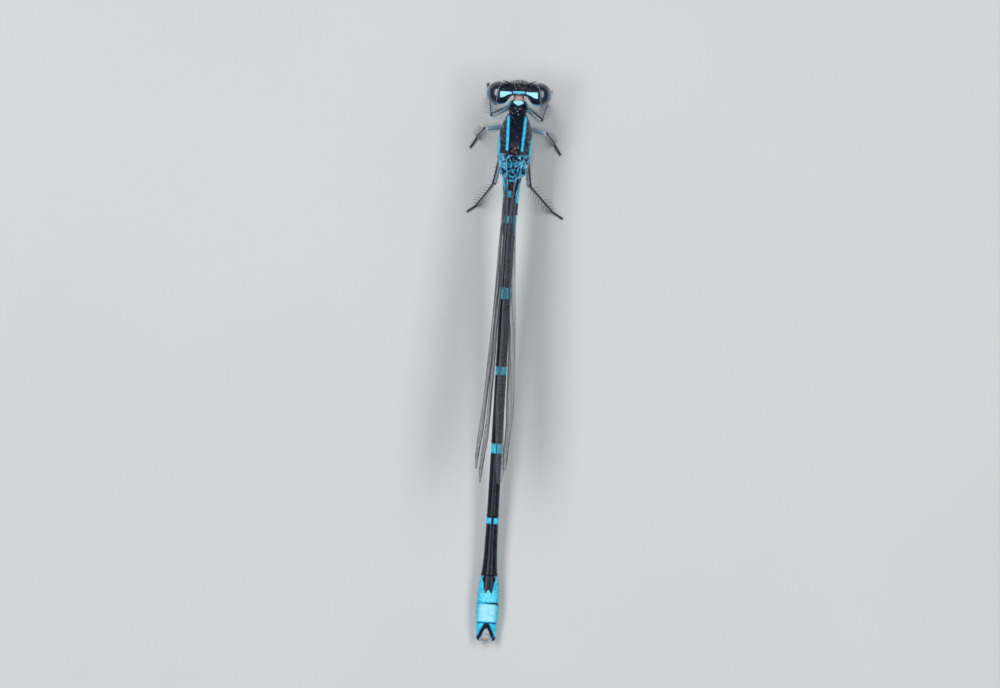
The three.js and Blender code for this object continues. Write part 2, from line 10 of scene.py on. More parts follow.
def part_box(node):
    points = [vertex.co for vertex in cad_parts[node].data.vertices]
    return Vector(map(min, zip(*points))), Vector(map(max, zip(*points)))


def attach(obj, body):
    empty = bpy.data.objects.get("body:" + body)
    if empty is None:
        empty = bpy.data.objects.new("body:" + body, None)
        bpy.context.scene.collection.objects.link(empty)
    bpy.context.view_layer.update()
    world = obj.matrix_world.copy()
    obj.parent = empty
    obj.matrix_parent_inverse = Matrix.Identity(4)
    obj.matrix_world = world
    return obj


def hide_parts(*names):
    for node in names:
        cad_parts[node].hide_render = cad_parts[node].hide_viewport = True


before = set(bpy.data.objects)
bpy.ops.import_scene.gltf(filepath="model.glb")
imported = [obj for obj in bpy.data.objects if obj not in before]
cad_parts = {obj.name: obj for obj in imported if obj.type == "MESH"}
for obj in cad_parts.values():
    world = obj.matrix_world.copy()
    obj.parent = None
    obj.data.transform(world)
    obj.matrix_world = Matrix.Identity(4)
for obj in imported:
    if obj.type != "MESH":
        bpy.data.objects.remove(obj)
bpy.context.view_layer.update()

rng = np.random.default_rng(5)

MM = 0.001
TAIL_TIP_Y = -27.75
tail_low, tail_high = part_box("abdomen_10")
mid_low, mid_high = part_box("abdomen_5")
ORIGIN = np.array([(mid_low[0] + mid_high[0]) / 2 / MM, tail_low[1] / MM - TAIL_TIP_Y, 0.0])
FRONT_YAW = math.radians(-1.4)

# Rows of (place, value) knots, read by a smooth curve through them

# The body tube, by y: half width, top and underside ahead of the waist
FRONT_HALF_WIDTH = [
    (0, 0.5), (0.28, 0.55), (0.7, 0.71), (1.2, 0.91), (1.8, 1.03), (2.7, 1.03), (3.4, 0.91), (4.0, 0.68),
    (4.18, 0.58), (4.28, 0.5), (4.36, 0.54), (4.5, 0.61), (4.64, 0.6), (4.76, 0.52), (4.84, 0.46),
    (4.92, 0.46), (5.03, 0.4), (5.12, 0.33), (5.7, 0.3),
]
FRONT_TOP = [
    (0, 3.31), (0.28, 3.24), (0.7, 3.31), (1.2, 3.52), (1.55, 3.84), (1.9, 4.34), (2.3, 4.48), (2.9, 4.25),
    (3.5, 3.87), (4.0, 3.5), (4.18, 3.36), (4.28, 3.28), (4.38, 3.42), (4.5, 3.5), (4.64, 3.48),
    (4.78, 3.38), (4.85, 3.28), (4.94, 3.3), (5.03, 3.24), (5.12, 3.15), (5.7, 3.12),
]
FRONT_UNDER = [
    (0, 2.19), (0.28, 2.22), (0.8, 2.03), (1.5, 1.85), (2.2, 1.67), (3, 1.53), (3.6, 1.67), (4.0, 2.02),
    (4.28, 2.3), (4.5, 2.24), (4.64, 2.22), (4.85, 2.42), (5.03, 2.46), (5.12, 2.56), (5.7, 2.6),
]
ROOF = [(0, 1.0), (1.0, 1.05), (2.0, 1.2), (3.8, 1.18), (4.25, 1.0)]
BELLY = [(0, 1.0), (1.0, 0.88), (3.6, 0.85), (4.25, 1.0)]

# The abdomen, by distance behind the waist
SEGMENT_ENDS = np.cumsum([0.5, 1.4, 4.35, 4.8, 4.65, 4.5, 3.55, 1.65, 1.2, 0.65])
ABDOMEN_BASE_Z = 2.75
ABDOMEN_FALL = 0.0846
ABDOMEN_HALF_WIDTH = [
    (0, 0.5), (1.9, 0.43), (3.6, 0.35), (11, 0.34), (19, 0.35), (22.4, 0.4), (23.7, 0.49), (24.6, 0.61),
    (25.6, 0.66), (26.6, 0.63), (27.25, 0.57),
]
ABDOMEN_HALF_HEIGHT = [
    (0, 0.56), (1.9, 0.48), (3.6, 0.4), (11, 0.39), (19, 0.4), (22.4, 0.43), (23.7, 0.48), (24.6, 0.55),
    (25.6, 0.57), (26.6, 0.53), (27.25, 0.44),
]
FLOOR_CLEARANCE = 0.004
TUBE_STEP = 0.05
TUBE_SIDES = 72
TUBE_FRONT_Y = 5.7

# The head's capsule, by distance from its middle
HEAD_FRONT = [(0, 6.14), (0.6, 6.13), (0.9, 6.1), (1.1, 6.0), (1.34, 5.86)]
HEAD_BACK = [(0, 5.34), (0.38, 5.32), (0.55, 5.19), (0.74, 4.93), (0.88, 4.81), (1.16, 4.76), (1.34, 4.78)]
HEAD_TOP = [(0, 3.72), (0.6, 3.75), (1, 3.82), (1.2, 3.85), (1.34, 3.78)]
HEAD_UNDER = [(0, 2.36), (0.8, 2.36), (1.34, 2.42)]
HEAD_REACH = 1.34
HEAD_RINGS, HEAD_SIDES = 66, 72
HEAD_SQUARENESS = 0.72
EYE_RINGS, EYE_SIDES = 64, 96
EYE_CENTRE = np.array([1.19, 5.42, 3.08])
EYE_RADII = np.array([0.79, 0.75, 0.8])
# Where each eye meets the head, by y: distance from the middle
EYE_MARGIN = [(4.7, 1.31), (5.2, 1.3), (5.5, 1.27), (5.85, 1.17), (6.05, 1.02), (6.2, 0.88)]
# The head's own turn about the neck, against the turn of the body
NECK = np.array([0, 5.2])
HEAD_YAW = math.radians(2.3)


def along(knots, place):
    """Values of a row of knots at places, by a smooth curve through the knots."""
    at, value = np.array(knots, float).T
    place = np.clip(np.asarray(place, float), at[0], at[-1])
    padded_at = np.concatenate([at[:1], at, at[-1:]])
    padded_value = np.concatenate([value[:1], value, value[-1:]])
    slope = (padded_value[2:] - padded_value[:-2]) / (padded_at[2:] - padded_at[:-2])
    i = np.clip(np.searchsorted(at, place, side="right") - 1, 0, len(at) - 2)
    span = at[i + 1] - at[i]
    t = (place - at[i]) / span
    rise = 3 * t**2 - 2 * t**3
    bend = span * t * (1 - t) * ((1 - t) * slope[i] - t * slope[i + 1])
    return value[i] + (value[i + 1] - value[i]) * rise + bend


def spun(points, angle, centre, where):
    """Points turned about a vertical line through centre, where a mask says so."""
    points = np.array(points, float)
    c, s = math.cos(angle), math.sin(angle)
    x, y = points[..., 0] - centre[0], points[..., 1] - centre[1]
    points[..., 0] = np.where(where, c * x - s * y + centre[0], points[..., 0])
    points[..., 1] = np.where(where, s * x + c * y + centre[1], points[..., 1])
    return points


def turned(points):
    """Points of the front of the body after its turn about the waist. What lies behind the waist stays."""
    points = np.array(points, float)
    return spun(points, FRONT_YAW, (0, 0), points[..., 1] > 0)


def head_turned(points):
    """Points of the head after its own turn and that of the front of the body."""
    return turned(spun(points, HEAD_YAW, NECK, True))


def mirrored(points, side):
    """Places on one side of the body, from those of its right side."""
    return [(x * side, y, z) for x, y, z in points]


def unit(vector):
    return vector / np.linalg.norm(vector)


def ball_power(value, power):
    return np.sign(value) * np.abs(value) ** power


def ridge(off, half_width):
    """1 along a line, fading to 0 beside it."""
    return np.exp(-((off / half_width) ** 2))


def grid_faces(rows, columns, around):
    """Quads over a grid of points, joined up along its columns if around."""
    faces = []
    last = columns if around else columns - 1
    for r in range(rows - 1):
        for k in range(last):
            a, b = r * columns + k, r * columns + (k + 1) % columns
            faces.append((a, b, b + columns, a + columns))
    return faces


def loft(rings):
    """A closed body through rings, as points and faces. Both ends are closed by fans."""
    rings = np.asarray(rings, float)
    count, sides, _ = rings.shape
    points = np.concatenate([rings.reshape(-1, 3), rings[[0]].mean(1), rings[[-1]].mean(1)])
    faces = grid_faces(count, sides, True)
    first_hub, last_hub, last_ring = count * sides, count * sides + 1, (count - 1) * sides
    for k in range(sides):
        after = (k + 1) % sides
        faces.append((first_hub, after, k))
        faces.append((last_hub, last_ring + k, last_ring + after))
    return points, faces


def ellipsoid(centre, radii, power=1.0, rings=24, sides=36):
    lat = np.linspace(0, math.pi, rings + 1)[1:-1]
    lon = np.arange(sides) / sides * 2 * math.pi
    x = ball_power(np.cos(lat), power)[:, None] * np.ones(sides)
    y = ball_power(np.sin(lat)[:, None] * np.cos(lon), power)
    z = ball_power(np.sin(lat)[:, None] * np.sin(lon), power)
    return loft(np.stack([-x, y, z], -1) * radii + centre)


def limb(points, radii, sides=10):
    """A tapering tube with a round section of its own radius at each point."""
    points = np.asarray(points, float)
    radii = np.asarray(radii, float)
    ahead = np.gradient(points, axis=0)
    ahead /= np.linalg.norm(ahead, axis=1)[:, None]
    side = np.array([0, 0, 1.0]) if abs(ahead[0][2]) < 0.9 else np.array([1.0, 0, 0])
    angle = np.arange(sides) / sides * 2 * math.pi
    rings = []
    for here, way, radius in zip(points, ahead, radii):
        side = side - way * side.dot(way)
        side /= np.linalg.norm(side)
        other = np.cross(way, side)
        rings.append(here + radius * (np.cos(angle)[:, None] * side + np.sin(angle)[:, None] * other))
    return loft(rings)


def smooth_path(points, steps):
    """A smooth curve through points, with steps pieces between each two."""
    points = np.asarray(points, float)
    t = np.linspace(0, len(points) - 1, (len(points) - 1) * steps + 1)
    knots = [list(zip(range(len(points)), points[:, axis])) for axis in range(points.shape[1])]
    return np.stack([along(k, t) for k in knots], -1)


def joined(parts):
    """Several bodies' points and faces as one."""
    points, faces, start = [], [], 0
    for part_points, part_faces in parts:
        points.append(part_points)
        faces.extend([tuple(i + start for i in face) for face in part_faces])
        start += len(part_points)
    return np.concatenate(points), faces


def smooth_faces(mesh):
    mesh.polygons.foreach_set("use_smooth", [True] * len(mesh.polygons))


def add_object(name, points, faces, material, slot=None, replaced=()):
    """A mesh object from millimetre points. With a slot it is a piece of the model."""
    mesh = bpy.data.meshes.new(name)
    mesh.from_pydata(((np.asarray(points) + ORIGIN) * MM).tolist(), [], faces)
    smooth_faces(mesh)
    if material:
        mesh.materials.append(material)
    piece = bpy.data.objects.new(name, mesh)
    bpy.context.scene.collection.objects.link(piece)
    if slot:
        finish_piece(piece, replaced)
    return piece


def finish_piece(piece, replaced):
    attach(piece, "root")
    if replaced:
        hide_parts(*replaced)


def add_values(mesh, name, values):
    """A number for each point of a mesh, that its material reads by name."""
    layer = mesh.attributes.new(name=name, type="FLOAT", domain="POINT")
    layer.data.foreach_set("value", np.asarray(values, np.float32))


# Materials
class Nodes:
    """Short hand for building a material's nodes."""

    def __init__(self, name):
        self.material = bpy.data.materials.new(name)
        self.material.use_nodes = True
        self.tree = self.material.node_tree
        self.shader = self.tree.nodes["Principled BSDF"]
        self.place = self.tree.nodes.new("ShaderNodeTexCoord").outputs["Object"]

    def node(self, kind, **settings):
        made = self.tree.nodes.new(kind)
        for key, value in settings.items():
            setattr(made, key, value)
        return made

    def put(self, value, socket):
        if isinstance(value, bpy.types.NodeSocket):
            self.tree.links.new(value, socket)
        else:
            socket.default_value = value

    def shade(self, name, value):
        """A constant or a node's output put on the shader's own socket."""
        self.put(value, self.shader.inputs[name])

    def math(self, operation, a, b):
        made = self.node("ShaderNodeMath", operation=operation)
        for value, socket in zip((a, b), made.inputs):
            self.put(value, socket)
        return made.outputs[0]

    def times(self, a, b):
        return self.math("MULTIPLY", a, b)

    def value(self, name):
        return self.node("ShaderNodeAttribute", attribute_name=name).outputs["Fac"]

    def wandering(self, name, amount, scale, detail):
        """A point's value, moved up and down by a noise."""
        wander = self.math("SUBTRACT", self.noise(scale, detail), 0.5)
        return self.math("ADD", self.value(name), self.times(wander, amount))

    def noise(self, scale, detail=3.0, rough=0.55, stretch=(1, 1, 1)):
        mapping = self.node("ShaderNodeMapping")
        self.put(self.place, mapping.inputs["Vector"])
        mapping.inputs["Scale"].default_value = stretch
        made = self.node("ShaderNodeTexNoise")
        self.put(mapping.outputs[0], made.inputs["Vector"])
        made.inputs["Scale"].default_value = scale
        made.inputs["Detail"].default_value = detail
        made.inputs["Roughness"].default_value = rough
        return made.outputs["Fac"]

    def cells(self, scale):
        """Distance from the nearest of many scattered seeds."""
        made = self.node("ShaderNodeTexVoronoi")
        self.put(self.place, made.inputs["Vector"])
        made.inputs["Scale"].default_value = scale
        return made.outputs["Distance"]

    def step(self, value, start, end):
        """0 below start, 1 above end, and smooth between."""
        made = self.node("ShaderNodeMapRange", interpolation_type="SMOOTHSTEP")
        self.put(value, made.inputs["Value"])
        made.inputs["From Min"].default_value = start
        made.inputs["From Max"].default_value = end
        return made.outputs["Result"]

    def spread(self, value, low, high):
        """0 to 1 carried on to low to high."""
        made = self.node("ShaderNodeMapRange")
        self.put(value, made.inputs["Value"])
        made.inputs["To Min"].default_value = low
        made.inputs["To Max"].default_value = high
        return made.outputs["Result"]

    def mix(self, share, a, b):
        made = self.node("ShaderNodeMix", data_type="RGBA")
        self.put(share, made.inputs[0])
        for value, socket in ((a, made.inputs[6]), (b, made.inputs[7])):
            self.put(value if isinstance(value, bpy.types.NodeSocket) else (*value, 1.0), socket)
        return made.outputs[2]

    def bump(self, height, strength, distance, under=None):
        made = self.node("ShaderNodeBump")
        made.inputs["Strength"].default_value = strength
        made.inputs["Distance"].default_value = distance
        self.put(height, made.inputs["Height"])
        if under is not None:
            self.put(under, made.inputs["Normal"])
        return made.outputs["Normal"]


BLACK = (0.003, 0.004, 0.008)
BLUE_BLACK = (0.006, 0.013, 0.034)
DEEP_BLUE = (0.003, 0.1, 0.28)
# Darker blue mixed into the lower sides as painted shade
SHADED_SIDE_BLUE = (0.008, 0.22, 0.5)
BLUE = (0.008, 0.42, 0.78)
BRIGHT_BLUE = (0.05, 0.76, 0.97)
PALE_BLUE = (0.33, 0.77, 0.92)
TAN = (0.58, 0.37, 0.33)
BROWN = (0.04, 0.02, 0.01)
WHITE = (0.7, 0.76, 0.78)
SPECK_GREY = (0.35, 0.38, 0.42)
FACET_BLACK = (0.002, 0.004, 0.008)
EYE_LINE_GREY = (0.3, 0.45, 0.52)
LEG_BLACK = (0.008, 0.01, 0.016)
# Pairs of close colours, mottled together
EYE_BLACKS = (0.004, 0.006, 0.01), (0.01, 0.02, 0.05)
EYE_BLUES = (0.012, 0.1, 0.3), (0.06, 0.34, 0.62)
OCELLUS_BROWNS = (0.025, 0.012, 0.012), (0.1, 0.045, 0.04)
LEG_GREYS = (0.2, 0.27, 0.34), (0.34, 0.4, 0.45)
MEMBRANE_GREYS = (0.12, 0.15, 0.22), (0.26, 0.28, 0.36)
VEIN_GREYS = (0.022, 0.025, 0.036), (0.075, 0.08, 0.105)
VEIN_BLUES = (0.012, 0.05, 0.1), (0.08, 0.4, 0.62)
CELL_GREYS = (0.02, 0.02, 0.024), (0.07, 0.065, 0.06)
PALE_HAIR_GREYS = (0.45, 0.5, 0.56), (0.85, 0.88, 0.9)
DARK_HAIR_GREYS = (0.01, 0.012, 0.016), (0.03, 0.034, 0.04)
FLOOR_GREYS = (0.52, 0.53, 0.53), (0.58, 0.59, 0.59)
# A stretch so slight that it only moves a noise's pattern
PATTERN_SHIFT = (1, 1, 1.01)
LENGTHWISE = (3, 1, 1)


def cuticle_material():
    n = Nodes("body_cuticle")
    wander = n.math("SUBTRACT", n.noise(9000, 4), 0.5)

    def edged(name, amount, start, end):
        """1 inside a marking and 0 outside it, with an edge that wanders."""
        return n.step(n.math("ADD", n.value(name), n.times(wander, amount)), start, end)

    mottle = n.value("mottle")
    holes = n.step(n.math("ADD", n.noise(5600, 3, 0.6), n.times(mottle, 0.3)), 0.8, 0.88)
    blue = n.times(edged("blue", 0.055, -0.014, 0.018), n.math("SUBTRACT", 1.0, holes))
    lights = n.times(mottle, n.step(n.noise(7400, 3, 0.6, PATTERN_SHIFT), 0.55, 0.66))
    pale = n.math("MAXIMUM", edged("pale", 0.1, -0.04, 0.06), n.times(lights, 0.8))
    dark = n.mix(n.step(n.noise(3200, 4), 0.35, 0.7), BLACK, BLUE_BLACK)
    blues = n.mix(n.step(n.noise(6200, 4), 0.3, 0.65), BLUE, BRIGHT_BLUE)
    # Painted shade: the blue turns darker where the "side" value is high, towards the underside
    blues = n.mix(n.times(n.value("side"), 0.85), blues, SHADED_SIDE_BLUE)
    blues = n.mix(n.step(n.value("blue"), 0.0, 0.075), DEEP_BLUE, blues)
    blues = n.mix(pale, blues, PALE_BLUE)
    colour = n.mix(blue, dark, blues)
    colour = n.mix(edged("tan", 0.08, -0.02, 0.03), colour, TAN)
    colour = n.mix(edged("brown", 0.08, -0.04, 0.05), colour, BROWN)
    colour = n.mix(n.times(edged("white", 0.12, -0.015, 0.02), 0.8), colour, WHITE)
    specks = n.times(n.step(n.cells(26000), 0.16, 0.08), n.times(n.value("speckle"), 0.5))
    n.shade("Base Color", n.mix(specks, colour, SPECK_GREY))
    n.shade("Roughness", n.spread(n.noise(21000, 3), 0.2, 0.36))
    n.shade("Specular IOR Level", 0.18)
    n.shade("Coat Weight", 0.12)
    n.shade("Coat Roughness", 0.12)
    pits = n.bump(n.step(n.cells(30000), 0.0, 0.45), 0.35, 0.00001)
    n.shade("Normal", n.bump(n.noise(38000, 3), 0.4, 0.000012, pits))
    return n.material


def eye_material():
    n = Nodes("compound_eye")
    rim = n.step(n.wandering("rim", 0.25, 7000, 2), -0.05, 0.3)
    dark = n.mix(n.noise(4200, 3), *EYE_BLACKS)
    light = n.mix(n.noise(9000, 3), *EYE_BLUES)
    facet = n.cells(52000)
    colour = n.mix(rim, dark, light)
    colour = n.mix(n.times(n.step(facet, 0.3, 0.62), 0.45), colour, FACET_BLACK)
    line = n.step(n.wandering("line", 0.05, 12000, 2), 0.0, 0.02)
    n.shade("Base Color", n.mix(n.times(line, 0.6), colour, EYE_LINE_GREY))
    n.shade("Roughness", 0.18)
    n.shade("Coat Weight", 1.0)
    n.shade("Coat IOR", 1.5)
    n.shade("Coat Roughness", 0.07)
    n.shade("Normal", n.bump(n.math("SUBTRACT", 1.0, facet), 0.35, 0.000008))
    return n.material


def leg_material():
    n = Nodes("leg_cuticle")
    dark = n.step(n.wandering("dark", 0.3, 9000, 3), -0.08, 0.12)
    n.shade("Base Color", n.mix(dark, n.mix(n.noise(7000, 3), *LEG_GREYS), LEG_BLACK))
    n.shade("Roughness", n.spread(n.noise(16000, 3), 0.28, 0.5))
    n.shade("Normal", n.bump(n.noise(36000, 3), 0.4, 0.00001))
    n.shade("Coat Weight", 0.2)
    n.shade("Coat Roughness", 0.2)
    return n.material


def plain_material(name, colours, roughness, coat=0.0, scale=9000):
    """Two close colours mottled together, over a fine grain."""
    n = Nodes(name)
    n.shade("Base Color", n.mix(n.noise(scale, 3), *colours))
    n.shade("Roughness", n.spread(n.noise(scale * 2, 2), roughness * 0.8, roughness * 1.25))
    n.shade("Normal", n.bump(n.noise(scale * 4, 2), 0.3, 0.000008))
    n.shade("Coat Weight", coat)
    n.shade("Coat Roughness", 0.1)
    return n.material


def membrane_material():
    n = Nodes("wing_membrane")
    n.shade("Base Color", n.mix(n.noise(1800, 3, 0.5, LENGTHWISE), *MEMBRANE_GREYS))
    n.shade("Roughness", 0.2)
    n.shade("Alpha", 0.14)
    n.shade("Thin Film Thickness", 380.0)
    n.shade("Thin Film IOR", 1.45)
    return n.material


def vein_material():
    """Smoky veins, that are blue and pale in patches where the wing leaves the body."""
    n = Nodes("wing_vein")
    vein = n.mix(n.noise(9000, 3), *VEIN_GREYS)
    base = n.mix(n.step(n.noise(3600, 3), 0.42, 0.58), *VEIN_BLUES)
    n.shade("Base Color", n.mix(n.step(n.value("root"), 0.0, 0.04), vein, base))
    n.shade("Roughness", n.spread(n.noise(18000, 2), 0.3, 0.5))
    n.shade("Normal", n.bump(n.noise(36000, 2), 0.3, 0.000006))
    return n.material


CUTICLE = cuticle_material()
EYE = eye_material()
LEG = leg_material()
HAIR = plain_material("pale_hair", PALE_HAIR_GREYS, 0.4)
DARK_HAIR = plain_material("dark_hair", DARK_HAIR_GREYS, 0.4)
VEIN = vein_material()
STIGMA = plain_material("wing_cell", CELL_GREYS, 0.35, 0.2)
OCELLUS = plain_material("ocellus", OCELLUS_BROWNS, 0.12, 0.8)
MEMBRANE = membrane_material()


# Body
def body_middle_z(distance):
    return ABDOMEN_BASE_Z - distance * ABDOMEN_FALL


def body_profile(y):
    """Half width, top and underside of the body tube at y."""
    distance = np.maximum(-y, 0)
    middle = body_middle_z(distance)
    high = along(ABDOMEN_HALF_HEIGHT, distance)
    half = np.where(y > 0, along(FRONT_HALF_WIDTH, y), along(ABDOMEN_HALF_WIDTH, distance))
    top = np.where(y > 0, along(FRONT_TOP, y), middle + high)
    under = np.where(y > 0, along(FRONT_UNDER, y), middle - high)
    return half, top, under


def segment_relief(y):
    """How far the abdomen's surface stands out or in near the joints of its segments."""
    distance = -y
    relief = np.zeros_like(y)
    for end in SEGMENT_ENDS[:-1]:
        gone = distance - end
        relief += 0.028 * ridge(gone + 0.09, 0.06)
        relief -= 0.035 * ridge(gone, 0.025)
    return relief * (y < 0.1)


def line_distance(y, z, start, end):
    """Distance from a line between two (y, z) places on the side of the thorax."""
    a, b = np.array(start), np.array(end)
    length = np.linalg.norm(b - a)
    way = (b - a) / length
    dy, dz = y - a[0], z - a[1]
    share = (dy * way[0] + dz * way[1]) / length
    off = np.abs(dy * way[1] - dz * way[0])
    beyond = np.maximum(np.maximum(-share, share - 1), 0) * length
    return np.hypot(off, beyond)


HUMERAL = ((3.95, 2.72), (1.75, 3.95))
SIDE_SUTURE = ((3.05, 1.9), (1.1, 3.45))
REAR_SUTURE = ((2.2, 1.75), (0.5, 2.95))
# The ridge down the middle of the thorax: its share of its full rise, by y
CREST = [(1.8, 0), (2.0, 1), (3.9, 1), (4.15, 0)]
# Extra rings beside each joint of the abdomen
JOINT_RINGS = (-0.06, -0.03, -0.015, 0, 0.015, 0.03, 0.06, 0.09)
# The rounded end of the tube: each ring's share of the last one's size, and how far behind it it lies
TUBE_CLOSING = ((0.93, 0.05), (0.75, 0.09), (0.45, 0.07))


def tube_rings():
    joints = np.concatenate([-SEGMENT_ENDS[:-1] + offset for offset in JOINT_RINGS])
    regular = np.arange(-SEGMENT_ENDS[-1], TUBE_FRONT_Y, TUBE_STEP)
    ys = np.unique(np.round(np.concatenate([regular, joints, [TUBE_FRONT_Y]]), 4))[::-1]
    angle = np.arange(TUBE_SIDES) / TUBE_SIDES * 2 * math.pi
    half, top, under = (size[:, None] for size in body_profile(ys))
    across, up = np.cos(angle), np.sin(angle)
    power = np.where(up > 0, along(ROOF, ys)[:, None], along(BELLY, ys)[:, None])
    x = half * ball_power(across, power)
    z = under + (top - under) * (0.5 + 0.5 * up)
    y = np.repeat(ys[:, None], TUBE_SIDES, 1)
    relief = segment_relief(y)
    relief += 0.045 * (ridge(x, 0.045) * (up > 0) * along(CREST, ys)[:, None])
    for suture in (HUMERAL, SIDE_SUTURE, REAR_SUTURE):
        relief -= 0.03 * ridge(line_distance(y, z, *suture), 0.035) * ((y > 0.3) & (y < 4.15))
    relief += 0.003 * (ridge(x, 0.05) * (up > 0) * (y < -0.6) * (y > -26.4))
    half_height = (top - under) / 2
    length = np.hypot(across / half, up / half_height)
    out_x = across / half / length
    out_z = up / half_height / length
    rings = np.stack([x + relief * out_x, y, np.maximum(z + relief * out_z, FLOOR_CLEARANCE)], -1)
    end = rings[-1].copy()
    closing = []
    for share, back in TUBE_CLOSING:
        ring = end.mean(0) + (end - end.mean(0)) * share
        ring[:, 1] -= back
        closing.append(ring)
    return np.concatenate([rings, closing])


def head_capsule():
    """The head between the eyes, with a shallow groove across its crown."""
    xs = np.linspace(-HEAD_REACH, HEAD_REACH, HEAD_RINGS)
    angle = np.arange(HEAD_SIDES) / HEAD_SIDES * 2 * math.pi
    edges = (HEAD_FRONT, HEAD_BACK, HEAD_TOP, HEAD_UNDER)
    front, back, top, under = (along(knots, np.abs(xs))[:, None] for knots in edges)
    forward = ball_power(np.cos(angle), HEAD_SQUARENESS)
    up = ball_power(np.sin(angle), HEAD_SQUARENESS)
    x = np.repeat(xs[:, None], HEAD_SIDES, 1)
    y = (front + back) / 2 + (front - back) / 2 * forward
    z = (top + under) / 2 + (top - under) / 2 * up
    groove = (up > 0.3) * ridge(y - 5.62, 0.09) * (np.abs(x) < 1.15)
    return loft(np.stack([x, y, z - 0.03 * groove], -1))


# Rounded masses of the face: place, radii and squareness, in the middle and then on its right side
FACE_MASSES = [
    ((0, 5.95, 2.72), (0.7, 0.33, 0.24), 0.85),
    ((0, 5.98, 2.42), (0.56, 0.31, 0.17), 0.85),
    ((0, 5.97, 2.18), (0.48, 0.29, 0.19), 0.85),
    ((0, 5.72, 2.24), (0.44, 0.4, 0.3), 0.95),
]
FACE_SIDE_MASSES = [((0.56, 5.86, 2.3), (0.2, 0.28, 0.26), 0.9), ((0.4, 5.93, 3.66), (0.12, 0.12, 0.12), 1.0)]
# The right upper and lower clasper at the tail: path, radii along it and number of sides
CLASPERS = [
    ([(0.36, -26.95, 0.52), (0.38, -27.3, 0.56), (0.38, -27.56, 0.54), (0.35, -27.71, 0.5)],
     [0.2, 0.21, 0.19, 0.1], 16),
    ([(0.24, -27.0, 0.28), (0.26, -27.4, 0.26), (0.24, -27.62, 0.32)], [0.2, 0.17, 0.06], 14),
]
# Each leg's hip, first joint, knee, ankle and foot
LEGS = {
    "front_left": (
        (-0.26, 4.78, 2.6), (-0.42, 4.68, 2.05), (-1.42, 4.1, 2.2), (-1.62, 5.2, 0.19), (-1.78, 5.95, 0.1),
    ),
    "front_right": (
        (0.26, 4.78, 2.6), (0.42, 4.68, 2.05), (1.55, 3.95, 2.2), (1.82, 4.95, 0.19), (2.05, 5.7, 0.1),
    ),
    "mid_left": (
        (-0.35, 3.4, 2.1), (-0.68, 3.42, 1.18), (-1.8, 3.25, 2.3), (-2.25, 2.75, 0.19), (-2.6, 2.15, 0.1),
    ),
    "mid_right": (
        (0.35, 3.4, 2.1), (0.68, 3.42, 1.18), (1.9, 3.15, 2.25), (2.4, 2.6, 0.19), (2.8, 2.0, 0.1),
    ),
    "hind_left": (
        (-0.35, 2.6, 2.1), (-0.66, 2.34, 1.1), (-1.06, -0.02, 2.1), (-2.0, -1.35, 0.19), (-2.55, -1.75, 0.1),
    ),
    "hind_right": (
        (0.35, 2.6, 2.1), (0.66, 2.34, 1.1), (1.06, -0.06, 2.1), (2.45, -1.48, 0.19), (3.12, -1.88, 0.1),
    ),
}
WING_ROOTS = {
    "wing_fore_left": (-0.42, 1.48, 4.45),
    "wing_fore_right": (0.42, 1.48, 4.45),
    "wing_hind_left": (-0.6, 0.55, 3.65),
    "wing_hind_right": (0.6, 0.55, 3.65),
}
# Raised plates between the wing roots, down the middle of the back: place and radii
BACK_PLATES = [
    ((0, 1.62, 3.86), (0.2, 0.2, 0.16)),
    ((0, 1.28, 3.56), (0.26, 0.2, 0.14)),
    ((0, 0.92, 3.36), (0.16, 0.16, 0.12)),
    ((0, 0.66, 3.28), (0.22, 0.16, 0.1)),
    ((0, 0.36, 3.22), (0.13, 0.16, 0.1)),
    ((0.42, 1.3, 3.5), (0.12, 0.26, 0.14)),
    ((-0.42, 1.3, 3.5), (0.12, 0.26, 0.14)),
    ((0.36, 0.5, 3.16), (0.1, 0.24, 0.14)),
    ((-0.36, 0.5, 3.16), (0.1, 0.24, 0.14)),
]


def body_parts():
    """The closed bodies that the skin is joined from, each already turned."""
    head = [head_capsule()] + [ellipsoid(*mass) for mass in FACE_MASSES]
    parts = [loft(tube_rings())]
    for side in (-1, 1):
        for centre, radii, squareness in FACE_SIDE_MASSES:
            head.append(ellipsoid(*mirrored([centre], side), radii, squareness))
        for path, radii, sides in CLASPERS:
            parts.append(limb(mirrored(path, side), radii, sides))
    parts.append(ellipsoid((0, -27.36, 0.48), (0.3, 0.31, 0.32), 0.9, 16, 22))
    for name, (x, y, z) in WING_ROOTS.items():
        side = np.sign(x)
        parts.append(ellipsoid((x * 0.95, y + 0.36, z - 0.12), (0.17, 0.44, 0.22), 0.9))
        parts.append(ellipsoid((x + 0.06 * side, y + 0.12, z - 0.14), (0.12, 0.2, 0.13), 0.9))
        parts.append(ellipsoid((x - 0.12 * side, y + 0.05, z - 0.2), (0.1, 0.16, 0.12), 0.9))
    for centre, radii in BACK_PLATES:
        parts.append(ellipsoid(centre, radii, 0.9, 14, 20))
    for hip, root, knee, _, _ in LEGS.values():
        hip, root, knee = (np.array(p) for p in (hip, root, knee))
        path = smooth_path([hip, root - (root - hip) * 0.25, root + unit(knee - root) * 0.12], 4)
        parts.append(limb(path, np.linspace(0.3, 0.22, len(path)), 20))
    turned_parts = [(turned(points), faces) for points, faces in parts]
    return turned_parts + [(head_turned(points), faces) for points, faces in head]


